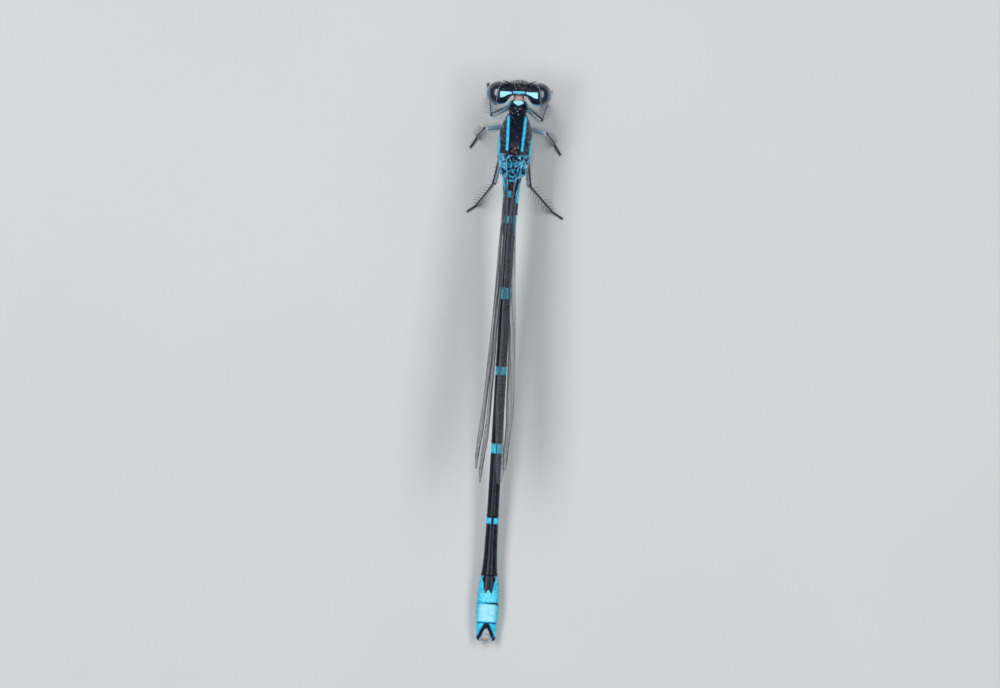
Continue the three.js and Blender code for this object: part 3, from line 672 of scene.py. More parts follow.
def join_skin(parts):
    """One skin from overlapping closed bodies, with no seam, joined at a scale of millimetres."""
    pieces = [add_object(f"part_{i}", points, faces, None) for i, (points, faces) in enumerate(parts)]
    base = pieces[0]
    others = bpy.data.collections.new("others")
    bpy.context.scene.collection.children.link(others)
    for piece in pieces[1:]:
        bpy.context.scene.collection.objects.unlink(piece)
        others.objects.link(piece)
    for piece in pieces:
        piece.data.transform(Matrix.Scale(1 / MM, 4))
    union = base.modifiers.new("union", "BOOLEAN")
    union.operation = "UNION"
    union.operand_type = "COLLECTION"
    union.collection = others
    union.solver = "EXACT"
    union.use_self = True
    bpy.context.view_layer.update()
    made = bpy.data.meshes.new_from_object(base.evaluated_get(bpy.context.evaluated_depsgraph_get()))
    base.modifiers.clear()
    old = base.data
    base.data = made
    bpy.data.meshes.remove(old)
    for piece in pieces[1:]:
        mesh = piece.data
        bpy.data.objects.remove(piece)
        bpy.data.meshes.remove(mesh)
    bpy.data.collections.remove(others)
    made.transform(Matrix.Scale(MM, 4))
    return base


def mesh_places(mesh):
    """A mesh's points in millimetres."""
    points = np.empty(len(mesh.vertices) * 3)
    mesh.vertices.foreach_get("co", points)
    return points.reshape(-1, 3) / MM - ORIGIN


def body_places(mesh):
    """A mesh's points in millimetres, with the turns of the front and of the head undone."""
    points = mesh_places(mesh)
    points = spun(points, -FRONT_YAW, (0, 0), points[:, 1] > 0.02)
    return spun(points, -HEAD_YAW, NECK, on_head(points))


def on_head(points):
    x, y = points[:, 0], points[:, 1]
    return (y > 5.1) | ((y > 4.72) & (np.abs(x) > 0.62))


def band(value, low, high):
    """How far inside a range a value is, below 0 outside it."""
    return np.minimum(value - low, high - value)


def spots(x, y, places, radius):
    """How far each point is inside the nearest of some round spots."""
    return np.max([radius - np.hypot(x - px, y - py) for px, py in places], axis=0)


def thorax_markings(x, y, z, up):
    away = np.abs(x)
    stripe_middle = along([(1.8, 0.45), (4.2, 0.53)], y)
    stripe_half = along([(1.8, 0.06), (2.1, 0.1), (3.9, 0.105), (4.15, 0.08)], y)
    stripe = np.minimum(stripe_half - np.abs(away - stripe_middle), band(y, 1.93, 4.12))
    side_limit = along([(1.8, 0.5), (2.4, 0.46), (2.9, 0.28), (3.2, 0.0), (4.1, -0.25)], y)
    sides = side_limit - up
    for suture, width in ((SIDE_SUTURE, 0.03), (REAR_SUTURE, 0.045)):
        sides = np.minimum(sides, line_distance(y, z, *suture) - width)
    saddle = np.minimum(band(y, 0.1, 1.68 + 0.14 * away), 0.3)
    dark = spots(x, y, SADDLE_DARKS, 0.08)
    saddle = np.where(up > -0.1, np.minimum(saddle, -dark), saddle)
    return np.maximum(np.where(up > 0, stripe, -1), np.maximum(sides, saddle))


# Between the wings: places of the dark pockets, and of the small and the large pale spots
SADDLE_DARKS = [
    (0.0, 1.6), (0.14, 1.52), (-0.14, 1.52), (0.3, 1.42), (-0.32, 1.4), (0.0, 0.98), (0.3, 0.86),
    (-0.28, 0.9), (0.14, 0.7), (-0.12, 0.66), (0.62, 0.86), (-0.62, 0.82), (0.0, 0.56), (0.2, 0.3),
    (-0.24, 0.3), (0.64, 0.66), (-0.52, 0.66), (0.76, 1.5), (-0.5, 1.62), (0.5, 1.56), (0.4, 0.16),
    (-0.36, 0.12),
]
SADDLE_LIGHTS = [
    (-0.2, 1.36), (-0.1, 1.42), (0.0, 1.45), (0.1, 1.42), (0.2, 1.34), (-0.15, 1.09), (0.15, 1.09),
    (-0.05, 0.34), (-0.05, 0.24), (-0.6, 1.39), (-0.63, 1.1), (-0.69, 0.45), (-0.55, 0.24), (-0.8, 1.35),
    (-0.8, 1.2), (-0.8, 1.05), (0.46, 1.06), (0.62, 0.54), (0.0, 1.72), (-0.36, 1.56), (0.36, 1.54),
    (0.5, 0.24),
]
SADDLE_BIG_LIGHTS = [(-0.46, 0.48), (0.62, 1.29), (0.8, 1.09), (0.46, 0.42)]


def thorax_pale(x, y, up):
    lights = np.maximum(spots(x, y, SADDLE_LIGHTS, 0.065), spots(x, y, SADDLE_BIG_LIGHTS, 0.11))
    return np.where(up > -0.2, lights, -1)


# Blue rings of the abdomen and the half width of the eighth segment's black mark, by distance from the waist
BLUE_RINGS = ((1.92, 2.42), (6.26, 7.0), (11.05, 11.6), (15.72, 16.35), (20.22, 20.62))
FORK_HALF_WIDTH = [(23.72, 0.2), (23.84, 0.34), (24.0, 0.37), (24.2, 0.3), (24.5, 0.26), (24.85, 0.2)]


def abdomen_markings(x, distance, up):
    away = np.abs(x)
    low_side = (-0.35 - up) * 0.4
    rings = np.max([band(distance, start, end) for start, end in BLUE_RINGS], axis=0)
    rings = np.maximum(rings, -1)
    rings = np.where(band(distance, 20, 21) > 0, np.minimum(rings, away - 0.06), rings)
    outer_side = away - np.where(x > 0, 0.27, 0.38)
    waist = np.minimum(outer_side, np.maximum(band(distance, 0.5, 1.2), band(distance, 1.85, 3.15)))
    waist = np.maximum(waist, np.minimum(0.13 - np.abs(x + 0.1), band(distance, 0.4, 0.86)))
    base = np.minimum(away - 0.36, band(distance, 0.0, 0.52))
    fork_reach = 24.56 + 0.25 * np.clip((away - 0.02) / 0.13, 0, 1)
    fork = np.minimum(along(FORK_HALF_WIDTH, distance) - away, fork_reach - distance)
    rightward = np.clip(x / 0.35, -1, 1)
    eighth = np.minimum(band(distance, 23.76, 25.43 - 0.035 * rightward), -fork)
    ninth = band(distance, 25.43 + 0.1 * away**2 + 0.02 * rightward, 26.62)
    arms = np.abs(away - 0.03 - (distance - 26.66) * 0.5) - 0.1
    crown = np.hypot(away * 0.9, distance - 26.84) - 0.13
    tenth = np.minimum(distance - 26.62, np.where(up > 0.1, np.minimum(arms, crown), 0.2))
    tail = np.where(distance > 23.6, np.maximum.reduce([eighth, ninth, tenth]), -1)
    return np.maximum.reduce([low_side, rings, waist, base, tail])


def postocular(away, y):
    """The pale spot behind each eye, a wedge that widens outwards."""
    under = along([(0.42, 5.42), (0.7, 5.33), (0.95, 5.2), (1.2, 5.18)], away)
    return np.minimum(np.minimum(y - under, 5.55 - y), np.minimum(away - 0.43, 1.15 - away))


def head_markings(away, y, z):
    bar = np.minimum(0.37 - away, 0.085 - np.abs(y - 5.505))
    bar = np.maximum(bar, np.minimum(0.05 - away, band(y, 5.36, 5.5)))
    rear_line = np.minimum(0.075 - (y - along(HEAD_BACK, away)), away - 0.74)
    crown = np.where(z > 3.2, np.maximum.reduce([postocular(away, y), bar, rear_line]), -1)
    face = np.maximum(2.86 - z, np.minimum(3.1 - z, away - 0.62)) * 0.8
    face = np.where(away < 0.62, np.minimum(face, np.abs(z - 2.72) - 0.1), face)
    return np.maximum(crown, np.where(y > 5.45, face, (2.9 - z) * 0.6))


WHITE_SPECKS = [(0.1, 4.5), (-0.02, 4.36), (0.05, 4.2), (-0.3, 4.24), (0.2, 2.2)]


def markings(points):
    """How far each point is inside each sort of marking, in millimetres."""
    x, y, z = points.T
    away, distance = np.abs(x), -y
    _, top, under = body_profile(y)
    up = np.clip((z - (top + under) / 2) / ((top - under) / 2), -1, 1)
    collar_half = along([(4.7, 0.0), (4.9, 0.34), (5.0, 0.27), (5.05, 0.2)], y)
    collar = np.where(up > 0.2, np.minimum(collar_half - away, band(y, 4.7, 5.05)), -1)
    prothorax = np.maximum(collar, (0.12 - up) * 0.6)
    head = head_markings(away, y, z)
    front = np.where(y > 4.27, prothorax, thorax_markings(x, y, z, up))
    head_here = on_head(points)
    front = np.where(head_here, head, front)
    blue = np.where(y > 0, front, abdomen_markings(x, distance, up))
    pale = np.where(head_here & (z > 3.2), postocular(away, y) + 0.02, -0.2)
    pale = np.where(head_here & (away < 0.4) & (z > 3.2), 0.0, pale)
    ninth_segment = np.minimum(band(distance, 25.48, 26.52), (0.52 - away) * 0.5)
    eighth_segment = np.minimum(np.minimum(band(distance, 24.6, 25.4), 0.56 - away) * 0.3 - 0.04, -0.006)
    underside = np.where((up < -0.75) & (y < 4), (-0.75 - up) * 0.5, -1)
    saddle_lights = np.where(band(y, 0.1, 1.85) > 0, thorax_pale(x, y, up), -1)
    collar_pale = np.where(head_here, -1, collar)
    pale = np.maximum.reduce([pale, ninth_segment, eighth_segment, underside, collar_pale, saddle_lights])
    above = z > (top + under) / 2
    triangle = 0.02 - np.abs(np.minimum(y - 1.88, (2.14 - y) * 0.7 - away))
    neck_half = along([(5.03, 0.38), (5.32, 0.26), (5.36, 0.1)], y)
    neck = np.minimum(neck_half - away, band(y, 5.03, 5.34))
    between_arms = np.minimum((distance - 26.66) * 0.5 - 0.07 - away, distance - 26.94)
    tail_spot = 0.13 - np.hypot(away, distance - 27.52)
    tan = np.maximum.reduce([triangle, neck, np.minimum(between_arms, 0.012), tail_spot])
    brown = np.maximum.reduce([
        0.16 - np.hypot(x - 0.05, distance - 0.15),
        0.1 - np.hypot(x, distance - 23.95),
        0.05 - np.hypot(x, y - 1.95),
    ])
    # Painted shade: how much darker blue a point gets, more the lower it lies on the sides of the thorax and
    # abdomen, and a fixed 0.75 between the wing roots
    side = np.clip((0.25 - up) * 2, 0, 1) * (band(y, -25.3, 4.2) > 0)
    side = np.where(band(y, 0.1, 1.7) > 0, 0.75, side)
    prothorax_specks = np.clip(band(y, 4.2, 4.85) * 8, 0, 1)
    head_specks = np.clip(band(y, 5.7, 6.4) * 8, 0, 1) * (z > 3.2)
    return {
        "side": np.where(head_here, 0.0, side),
        "blue": blue,
        "pale": pale,
        "tan": np.where(above & ~(head_here & (y < 5.05)), tan, -1),
        "brown": np.where(above, brown, -1),
        "white": np.where(above, spots(x, y, WHITE_SPECKS, 0.034), -1),
        "mottle": np.clip(band(y, 0.05, 1.9) * 6, 0, 1) * (up > -0.2),
        "speckle": prothorax_specks + head_specks,
    }


def make_body():
    body = join_skin(body_parts())
    body.name = "body_skin"
    body.data.name = "body_skin"
    places = body_places(body.data)
    for name, values in markings(places).items():
        add_values(body.data, name, values)
    body.data.materials.clear()
    body.data.materials.append(CUTICLE)
    smooth_faces(body.data)
    nodes = ["head", "prothorax", "thorax", "abdomen_1_2"] + [f"abdomen_{i}" for i in range(3, 11)]
    finish_piece(body, nodes)
    return body


# Eyes
def make_eye(name, side):
    """A dome cut off along the line where the eye meets the head."""
    lat = np.linspace(0.02, 0.66 * math.pi, EYE_RINGS)
    lon = np.arange(EYE_SIDES) / EYE_SIDES * 2 * math.pi
    x = np.cos(lat)[:, None] * np.ones(EYE_SIDES)
    y = np.sin(lat)[:, None] * np.cos(lon)
    z = np.sin(lat)[:, None] * np.sin(lon)
    rings = np.stack([x, y, z], -1) * EYE_RADII + EYE_CENTRE
    margin = along(EYE_MARGIN, rings[..., 1])
    inside = np.maximum(margin - rings[..., 0], 0)
    local = (rings - EYE_CENTRE) / EYE_RADII
    rings[..., 0] = np.maximum(rings[..., 0], margin)
    sunk = np.clip(inside / 0.12, 0, 1)[..., None] * 0.25
    rings[..., 1:] += (EYE_CENTRE - rings)[..., 1:] * sunk
    rings[..., 0] *= side
    outer, fore, up = local[..., 0], local[..., 1], local[..., 2]
    rim = np.maximum(-0.16 - up * 0.8 - 0.1 * fore, np.minimum(outer - 0.66, 0.6 - fore) * 1.1)
    rim = np.maximum(rim, np.minimum(-0.66 - fore, 0.6 - up) * 1.2)
    margin_line = 0.03 - np.abs(rings[..., 0] * side - margin - 0.02)
    if side > 0:
        rings, rim, margin_line = rings[:, ::-1], rim[:, ::-1], margin_line[:, ::-1]
    points, faces = loft(rings)
    replaced = ["eye_left" if side < 0 else "eye_right"]
    piece = add_object(name, head_turned(points), faces, EYE, "compound_eye", replaced)
    add_values(piece.data, "rim", np.concatenate([rim.ravel(), [0.2, -0.2]]))
    add_values(piece.data, "line", np.concatenate([margin_line.ravel(), [-1, -1]]))


# The three simple eyes: place and radius
OCELLI = [((0, 5.93, 3.7), 0.062), ((-0.19, 5.75, 3.72), 0.066), ((0.19, 5.75, 3.72), 0.066)]
# The right feeler's path, and its radius by step along it
FEELER_PATH = [
    (0.4, 5.93, 3.7), (0.47, 5.97, 3.85), (0.56, 6.03, 4.05), (0.72, 6.1, 4.38), (0.92, 6.16, 4.75),
    (1.02, 6.2, 4.98),
]
FEELER_RADII = [(0, 0.085), (4, 0.095), (6, 0.07), (9, 0.075), (11, 0.05), (18, 0.032), (25, 0.012)]


def make_ocelli():
    parts = [ellipsoid(centre, (radius, radius, radius * 0.8), 1, 14, 20) for centre, radius in OCELLI]
    points, faces = joined(parts)
    add_object("ocelli", head_turned(points), faces, OCELLUS, "compound_eye")


def make_antenna(name, side):
    path = smooth_path(FEELER_PATH, 5)
    path[:, 0] *= side
    points, faces = limb(path, along(FEELER_RADII, np.arange(len(path))), 16)
    replaced = ["antenna_left" if side < 0 else "antenna_right"]
    piece = add_object(name, head_turned(points), faces, LEG, "black_cuticle", replaced)
    add_values(piece.data, "dark", np.ones(len(points)))


# Legs
def spine(seat, way, length, radius, bend=0.12):
    """A fine tapered spine, a little bent."""
    way = unit(way)
    down = np.array([0, 0, -1.0])
    shares = np.array([-0.08, 0.3, 0.7, 1.0])
    path = [seat + way * length * s + down * bend * length * max(s, 0) ** 2 for s in shares]
    path = [np.array([p[0], p[1], max(p[2], 0.02)]) for p in path]
    return limb(path, [radius, radius * 0.85, radius * 0.5, radius * 0.1], 6)


UPWARD = (0, 0, 1.0)
HEEL_Z, FOOT_Z = 0.16, 0.07
THIGH_SIDES, SHIN_SIDES = 18, 16
# Radii by step along each length of a leg
THIGH_RADII = [(0, 0.2), (4, 0.17), (7, 0.16), (12, 0.155), (16, 0.14), (18, 0.15)]
SHIN_RADII = [(0, 0.13), (2, 0.14), (5, 0.105), (12, 0.09), (18, 0.1)]
# The foot's joints, by share of its length, and the radii along each of its lengths
FOOT_JOINTS = (0, 0.2, 0.55, 1.0)
FOOT_RADII = {0: 0.05, 0.15: 0.065, 0.6: 0.062, 0.9: 0.07, 1: 0.045}
CLAW_RADII = (0.035, 0.028, 0.006)
# How dark the ends of a thigh or shin are, and the whole of a foot or spine
END_DARK, FOOT_DARK = 0.3, 0.4


def foot_parts(heel, foot):
    """The three lengths of a foot and its two claws."""
    way, reach = unit(foot - heel), np.linalg.norm(foot - heel)
    parts = []
    for start, end in zip(FOOT_JOINTS, FOOT_JOINTS[1:]):
        a, b = heel + way * reach * start, heel + way * reach * end
        parts.append(limb([a + (b - a) * share for share in FOOT_RADII], list(FOOT_RADII.values()), 12))
    for turn in (-1, 1):
        across = np.cross(way, UPWARD) * turn
        tip = foot + way * 0.12 + across * 0.09 + (0, 0, -0.03)
        parts.append(limb([foot, foot + way * 0.08 + across * 0.05, tip], CLAW_RADII, 8))
    return parts


def thigh_spines(root, knee, thigh_way):
    across = unit(np.cross(thigh_way, UPWARD))
    spines = []
    for i in range(7):
        share = 0.2 + 0.72 * i / 6
        for turn in (-1, 1):
            seat = root + (knee - root) * share + across * 0.1 * turn + (0, 0, -0.08)
            way = across * 0.55 * turn + thigh_way * 0.45 + (0, 0, -0.75)
            spines.append(spine(seat, way, 0.3 + 0.1 * rng.random(), 0.016))
    return spines


def shin_spines(knee, heel, shin_way, side):
    """Spines in two rows down a shin, shorter where they would reach the floor."""
    across = unit(np.cross(shin_way, UPWARD))
    outward = np.array([side, 0, 0.0])
    spines = []
    for i in range(8):
        share = 0.12 + 0.84 * i / 7
        for turn in (-1, 1):
            seat = knee + (heel - knee) * share + across * 0.06 * turn
            way = across * 0.85 * turn + outward * 0.25 + shin_way * 0.6
            room = max(0.12, (seat[2] - 0.05) / max(-way[2], 0.2) * 0.8)
            length = min(0.48 * (0.85 + 0.3 * rng.random()), room)
            spines.append(spine(seat, way, length, 0.017, 0.0))
    return spines


def limb_shade(points, sides, side, level):
    """How dark each point of a thigh or shin is: most on its upper and outer faces."""
    rings = points[:-2].reshape(-1, sides, 3)
    out = rings - rings.mean(1, keepdims=True)
    out /= np.linalg.norm(out, axis=2)[..., None]
    shade = out[..., 2] * 0.35 + out[..., 0] * side * 0.6 - level
    return np.concatenate([shade.ravel(), [END_DARK, END_DARK]])


def make_leg(leg):
    _, root, knee, ankle, foot = (np.array(p, float) for p in LEGS[leg])
    root = turned(root)
    side = np.sign(knee[0])
    thigh_way, shin_way = unit(knee - root), unit(ankle - knee)
    heel = np.array([ankle[0], ankle[1], HEEL_Z])
    foot = np.array([foot[0], foot[1], FOOT_Z])
    thigh_middle = (root + knee) / 2 + (0, 0, 0.05)
    thigh_path = smooth_path([root - thigh_way * 0.12, root + thigh_way * 0.25, thigh_middle, knee], 6)
    shin_path = smooth_path([knee - shin_way * 0.02, knee + shin_way * 0.3, (knee + heel) / 2, heel], 6)
    thigh = limb(thigh_path, along(THIGH_RADII, np.arange(len(thigh_path))), THIGH_SIDES)
    shin = limb(shin_path, along(SHIN_RADII, np.arange(len(shin_path))), SHIN_SIDES)
    others = foot_parts(heel, foot) + thigh_spines(root, knee, thigh_way)
    others += shin_spines(knee, heel, shin_way, side)
    dark = [limb_shade(thigh[0], THIGH_SIDES, side, 0.34), limb_shade(shin[0], SHIN_SIDES, side, 0.4)]
    dark += [np.full(len(points), FOOT_DARK) for points, _ in others]
    points, faces = joined([thigh, shin] + others)
    points[:, 2] = np.maximum(points[:, 2], FLOOR_CLEARANCE)
    replaced = [f"leg_{leg}_thigh", f"leg_{leg}_shin"]
    piece = add_object(f"leg_{leg}", points, faces, LEG, "leg_cuticle", replaced)
    add_values(piece.data, "dark", np.concatenate(dark))


# Wings, closed upright with the leading edge uppermost
LEADING_EDGE = [(0, 0.25), (0.12, 0.27), (0.4, 0.36), (0.75, 0.34), (0.9, 0.2), (1, -0.35)]
TRAILING_EDGE = [
    (0, -0.25), (0.1, -0.27), (0.2, -0.95), (0.35, -2.1), (0.55, -2.9), (0.72, -3.0), (0.88, -2.5), (1, -1.6),
]
FULL_CHORD = 3.3
TIP_START, TIP_ROUNDING, TIP_BLUNTNESS = 0.6, 1.15, 0.96
# A wing's slope and length, and the shares of its length at which its edges' places are given
FOREWING = dict(slope=0.098, length=19.6, shares=(0, 0.125, 0.28, 0.4, 0.53, 0.74, 0.84, 1))
HINDWING = dict(slope=0.088, length=17.85, shares=(0, 0.085, 0.25, 0.39, 0.53, 0.76, 0.87, 1))
WINGS = {name: FOREWING if "fore" in name else HINDWING for name in WING_ROOTS}
# Where the leading and the trailing edge of each wing stand across the body
WING_EDGES = {
    "wing_fore_left": (
        (-0.42, -0.19, -0.21, -0.25, -0.37, -0.45, -0.52, -0.79),
        (-0.42, -0.32, -0.36, -0.43, -0.57, -0.67, -0.75, -0.98),
    ),
    "wing_fore_right": (
        (0.42, 0.04, -0.1, -0.12, -0.12, -0.17, -0.13, 0.04),
        (0.42, 0.16, 0.2, 0.26, 0.3, 0.3, 0.35, 0.5),
    ),
    "wing_hind_left": (
        (-0.6, -0.38, -0.42, -0.45, -0.54, -0.72, -0.86, -1.07),
        (-0.6, -0.48, -0.58, -0.64, -0.75, -0.96, -1.09, -1.27),
    ),
    "wing_hind_right": (
        (0.6, 0.24, 0.17, 0.22, 0.34, 0.44, 0.48, 0.42),
        (0.6, 0.34, 0.44, 0.58, 0.73, 0.87, 0.85, 0.68),
    ),
}
# Long veins: their share of the wing's width by share of its length, from where they start to where they end,
# and their radius
LONG_VEINS = {
    "edge": ([(0, 0.0), (1, 0.0)], 0.034),
    "rear": ([(0, 1.0), (1, 1.0)], 0.014),
    "under_edge": ([(0, 0.25), (0.12, 0.22), (0.25, 0.08), (0.37, 0.0)], 0.02),
    "radius": (
        [(0, 0.5), (0.12, 0.4), (0.2, 0.25), (0.36, 0.125), (0.6, 0.1), (0.86, 0.115), (0.985, 0.14)], 0.03,
    ),
    "first": ([(0.36, 0.13), (0.5, 0.19), (0.7, 0.21), (0.86, 0.24), (0.99, 0.34)], 0.02),
    "second": ([(0.5, 0.2), (0.6, 0.28), (0.8, 0.36), (0.985, 0.52)], 0.016),
    "between": ([(0.4, 0.24), (0.55, 0.37), (0.75, 0.48), (0.975, 0.7)], 0.016),
    "third": ([(0.28, 0.3), (0.4, 0.42), (0.6, 0.56), (0.8, 0.72), (0.95, 0.99)], 0.017),
    "fourth": ([(0.17, 0.42), (0.3, 0.54), (0.5, 0.66), (0.7, 0.83), (0.86, 0.99)], 0.017),
    "fifth": ([(0.17, 0.6), (0.3, 0.73), (0.5, 0.84), (0.7, 0.99)], 0.017),
    "sixth": ([(0.1, 0.8), (0.2, 0.86), (0.32, 0.92), (0.42, 0.99)], 0.015),
}
CELL_ORDER = ["edge", "radius", "first", "second", "between", "third", "fourth", "fifth", "sixth", "rear"]
STIGMA_RANGE = (0.868, 0.905)
CROSS_STEP = 0.024
LAST_SHARE = 0.99
# Cross veins that stand out: share of the wing's length, shares of its width from and to, and radius
STOUT_CROSS_VEINS = (
    (0.365, 0.0, 0.22, 0.03),
    (0.17, 0.0, 0.62, 0.024),
    (STIGMA_RANGE[0], 0, 0.115, 0.02),
    (STIGMA_RANGE[1], 0, 0.118, 0.02),
)
PLEAT = 0.028
PLEAT_HALF_WAVES = 9
SHEET_HALF_THICKNESS, CELL_HALF_THICKNESS = 0.004, 0.018


def wing_places(name, t, v, out=0.0):
    """Points of a wing's sheet at shares t of its length and v of its width, moved out by a distance."""
    _, root, height = WING_ROOTS[name]
    facts = WINGS[name]
    lead, trail = (along(list(zip(facts["shares"], edge)), t) for edge in WING_EDGES[name])
    t, v = np.broadcast_arrays(np.asarray(t, float), np.asarray(v, float))
    top, bottom = along(LEADING_EDGE, t), along(TRAILING_EDGE, t)
    near_tip = np.maximum(0, (t - TIP_START) / (1 - TIP_START))
    rounding = near_tip**2 * TIP_ROUNDING * (1 - np.sqrt(1 - TIP_BLUNTNESS * (2 * v - 1) ** 2))
    reach = t * facts["length"] - rounding
    chord = (top - bottom) / FULL_CHORD
    pleat = PLEAT * np.sin(v * math.pi * PLEAT_HALF_WAVES) * np.clip(chord, 0.2, 1) * (1 - 0.6 * t)
    wave = 0.015 * np.sin(t * 23 + v * 3) * t
    x = lead + (trail - lead) * v + pleat + wave + out
    z = height + reach * facts["slope"] + top + v * (bottom - top)
    return np.stack([x, root - reach, z], -1)


def vein_share(vein, t):
    """Where a long vein is across the wing at a share of its length, and whether it reaches there."""
    knots, _ = LONG_VEINS[vein]
    return along(knots, t), (t >= knots[0][0]) & (t <= knots[-1][0])


def vein_tube(points, radius, end_radius=None, sides=6):
    return limb(points, np.linspace(radius, radius if end_radius is None else end_radius, len(points)), sides)


def wing_veins(name):
    parts = []
    for knots, radius in LONG_VEINS.values():
        start, end = knots[0][0], knots[-1][0]
        t = np.linspace(start, end, max(4, int((end - start) * 90)))
        parts.append(vein_tube(wing_places(name, t, along(knots, t)), radius, radius * 0.6))
    rim = np.linspace(0, 1, 26)
    parts.append(vein_tube(wing_places(name, np.ones_like(rim), rim), 0.022, 0.014))
    for k, t in enumerate(np.arange(0.1, 0.985, CROSS_STEP)):
        shares = sorted((float(vein_share(v, t)[0]), v) for v in CELL_ORDER if vein_share(v, t)[1])
        for j, ((low, first), (high, _)) in enumerate(zip(shares, shares[1:])):
            if high - low < 0.03:
                continue
            if t < 0.36 and first == "edge" and k % 4:
                continue
            if STIGMA_RANGE[0] - 0.01 < t < STIGMA_RANGE[1] + 0.01 and first == "edge":
                continue
            middle = (low + high) / 2
            narrow = (high - low) * FULL_CHORD < 0.75
            spans = [(low, high)] if narrow else [(low, middle), (middle, high)]
            for c, (start, end) in enumerate(spans):
                shift = (0.5 * (j % 2) + 0.5 * c + 0.16 * (rng.random() - 0.5)) * CROSS_STEP
                skew = 0.12 * CROSS_STEP * (rng.random() - 0.5)
                ts = np.clip(np.array([t + shift, t + shift + skew, t + shift + 2 * skew]), 0, LAST_SHARE)
                vs = np.array([start, (start + end) / 2, end])
                parts.append(vein_tube(wing_places(name, ts, vs), 0.008, sides=5))
            if not narrow:
                ts = np.clip(np.array([t, t + CROSS_STEP / 2, t + CROSS_STEP]), 0, LAST_SHARE)
                zigzag = middle + np.array([0, 0.012, 0])
                parts.append(vein_tube(wing_places(name, ts, zigzag), 0.007, sides=5))
    for t, low, high, radius in STOUT_CROSS_VEINS:
        v = np.linspace(low, high, 5)
        parts.append(vein_tube(wing_places(name, np.full(5, t) + 0.004 * (v / max(high, 0.1)), v), radius))
    return joined(parts)


def wing_sheet(name, ts, vs, half):
    """A thin closed sheet over part of a wing, the same triangles on both faces."""
    t, v = np.meshgrid(ts, vs, indexing="ij")
    points = np.concatenate([wing_places(name, t, v, out).reshape(-1, 3) for out in (half, -half)])
    rows, columns = t.shape
    faces = []
    other = rows * columns

    def at(i, j):
        return i * columns + j

    for i in range(rows - 1):
        for j in range(columns - 1):
            a, b, c, d = at(i, j), at(i + 1, j), at(i + 1, j + 1), at(i, j + 1)
            faces += [(a, b, c), (a, c, d)]
            faces += [(a + other, c + other, b + other), (a + other, d + other, c + other)]
    edge = [at(i, 0) for i in range(rows)] + [at(rows - 1, j) for j in range(1, columns)]
    edge += [at(i, columns - 1) for i in range(rows - 2, -1, -1)]
    edge += [at(0, j) for j in range(columns - 2, 0, -1)]
    for a, b in zip(edge, edge[1:] + edge[:1]):
        faces.append((a, a + other, b + other, b))
    return points, faces


def make_wing(name):
    sheet = wing_sheet(name, np.linspace(0, 1, 110), np.linspace(0, 1, 46), SHEET_HALF_THICKNESS)
    add_object(name + "_sheet", *sheet, MEMBRANE, "wing_membrane", [name])
    points, faces = wing_veins(name)
    veins = add_object(name + "_veins", points, faces, VEIN, "wing_membrane")
    share = (WING_ROOTS[name][1] - points[:, 1]) / WINGS[name]["length"]
    add_values(veins.data, "root", 0.1 - share)
    cell = wing_sheet(name, np.linspace(*STIGMA_RANGE, 8), np.linspace(0.0, 0.115, 5), CELL_HALF_THICKNESS)
    add_object(name + "_cell", *cell, STIGMA, "wing_membrane")


# Hair
HAIR_SIDES, HAIR_LEVELS = 3, 4
HAIR_SPREAD = 0.22
# The body's map: the width of a hair's patch on it, the height of its middle line and its length
MAP_PATCH = 0.003
MAP_AXIS_Z = 3.0
MAP_LENGTH = 34.2


def hair_seats(mesh, count, weight):
    """Random places on a skin where weight is high, its normal there and the place on the straight body."""
    mesh.calc_loop_triangles()
    triangles = np.array([t.vertices[:] for t in mesh.loop_triangles])
    points = mesh_places(mesh)
    flat = body_places(mesh)
    a, b, c = (points[triangles[:, i]] for i in range(3))
    normal = np.cross(b - a, c - a)
    area = np.linalg.norm(normal, axis=1)
    normal /= np.maximum(area, 1e-12)[:, None]
    chance = area * weight(flat[triangles].mean(1), normal)
    picked = rng.choice(len(triangles), count, p=chance / chance.sum())
    share = rng.random((count, 2))
    share = np.where(share.sum(1, keepdims=True) > 1, 1 - share, share)
    seats = a[picked] + (b - a)[picked] * share[:, :1] + (c - a)[picked] * share[:, 1:]
    return seats, normal[picked], flat[triangles[picked, 0]]


def hair_rings(seats, normal, length, radius, lean):
    """Points of thin cones that bend as they lean, by hair, ring and side."""
    count = len(seats)
    way = normal + np.array(lean) + rng.normal(0, HAIR_SPREAD, (count, 3))
    way /= np.linalg.norm(way, axis=1)[:, None]
    droop = np.array(lean) * 0.8
    size = length * (0.6 + 0.8 * rng.random(count))
    across = np.cross(way, np.where(np.abs(way[:, 2:]) < 0.8, UPWARD, (1.0, 0, 0)))
    across /= np.linalg.norm(across, axis=1)[:, None]
    other = np.cross(way, across)
    angle = (np.arange(HAIR_SIDES) / HAIR_SIDES * 2 * math.pi)[None, :, None]
    ring = np.cos(angle) * across[:, None] + np.sin(angle) * other[:, None]
    rings = []
    for k in range(HAIR_LEVELS):
        s = k / (HAIR_LEVELS - 1)
        centre = seats + way * (size * (s * 1.05 - 0.05))[:, None] + droop * (size * s**2 * 0.3)[:, None]
        rings.append(centre[:, None] + radius * (1 - 0.9 * s) * ring)
    rings = np.stack(rings, 1)
    rings[..., 2] = np.maximum(rings[..., 2], FLOOR_CLEARANCE)
    return rings


def hair_faces(count):
    points_each = HAIR_LEVELS * HAIR_SIDES
    faces = []
    for start in range(0, count * points_each, points_each):
        for k in range(HAIR_LEVELS - 1):
            for j in range(HAIR_SIDES):
                p = start + k * HAIR_SIDES + j
                q = start + k * HAIR_SIDES + (j + 1) % HAIR_SIDES
                faces.append((p, q, q + HAIR_SIDES, p + HAIR_SIDES))
        tip = start + points_each
        faces.append((start + 2, start + 1, start))
        faces.append((tip - 3, tip - 2, tip - 1))
    return faces


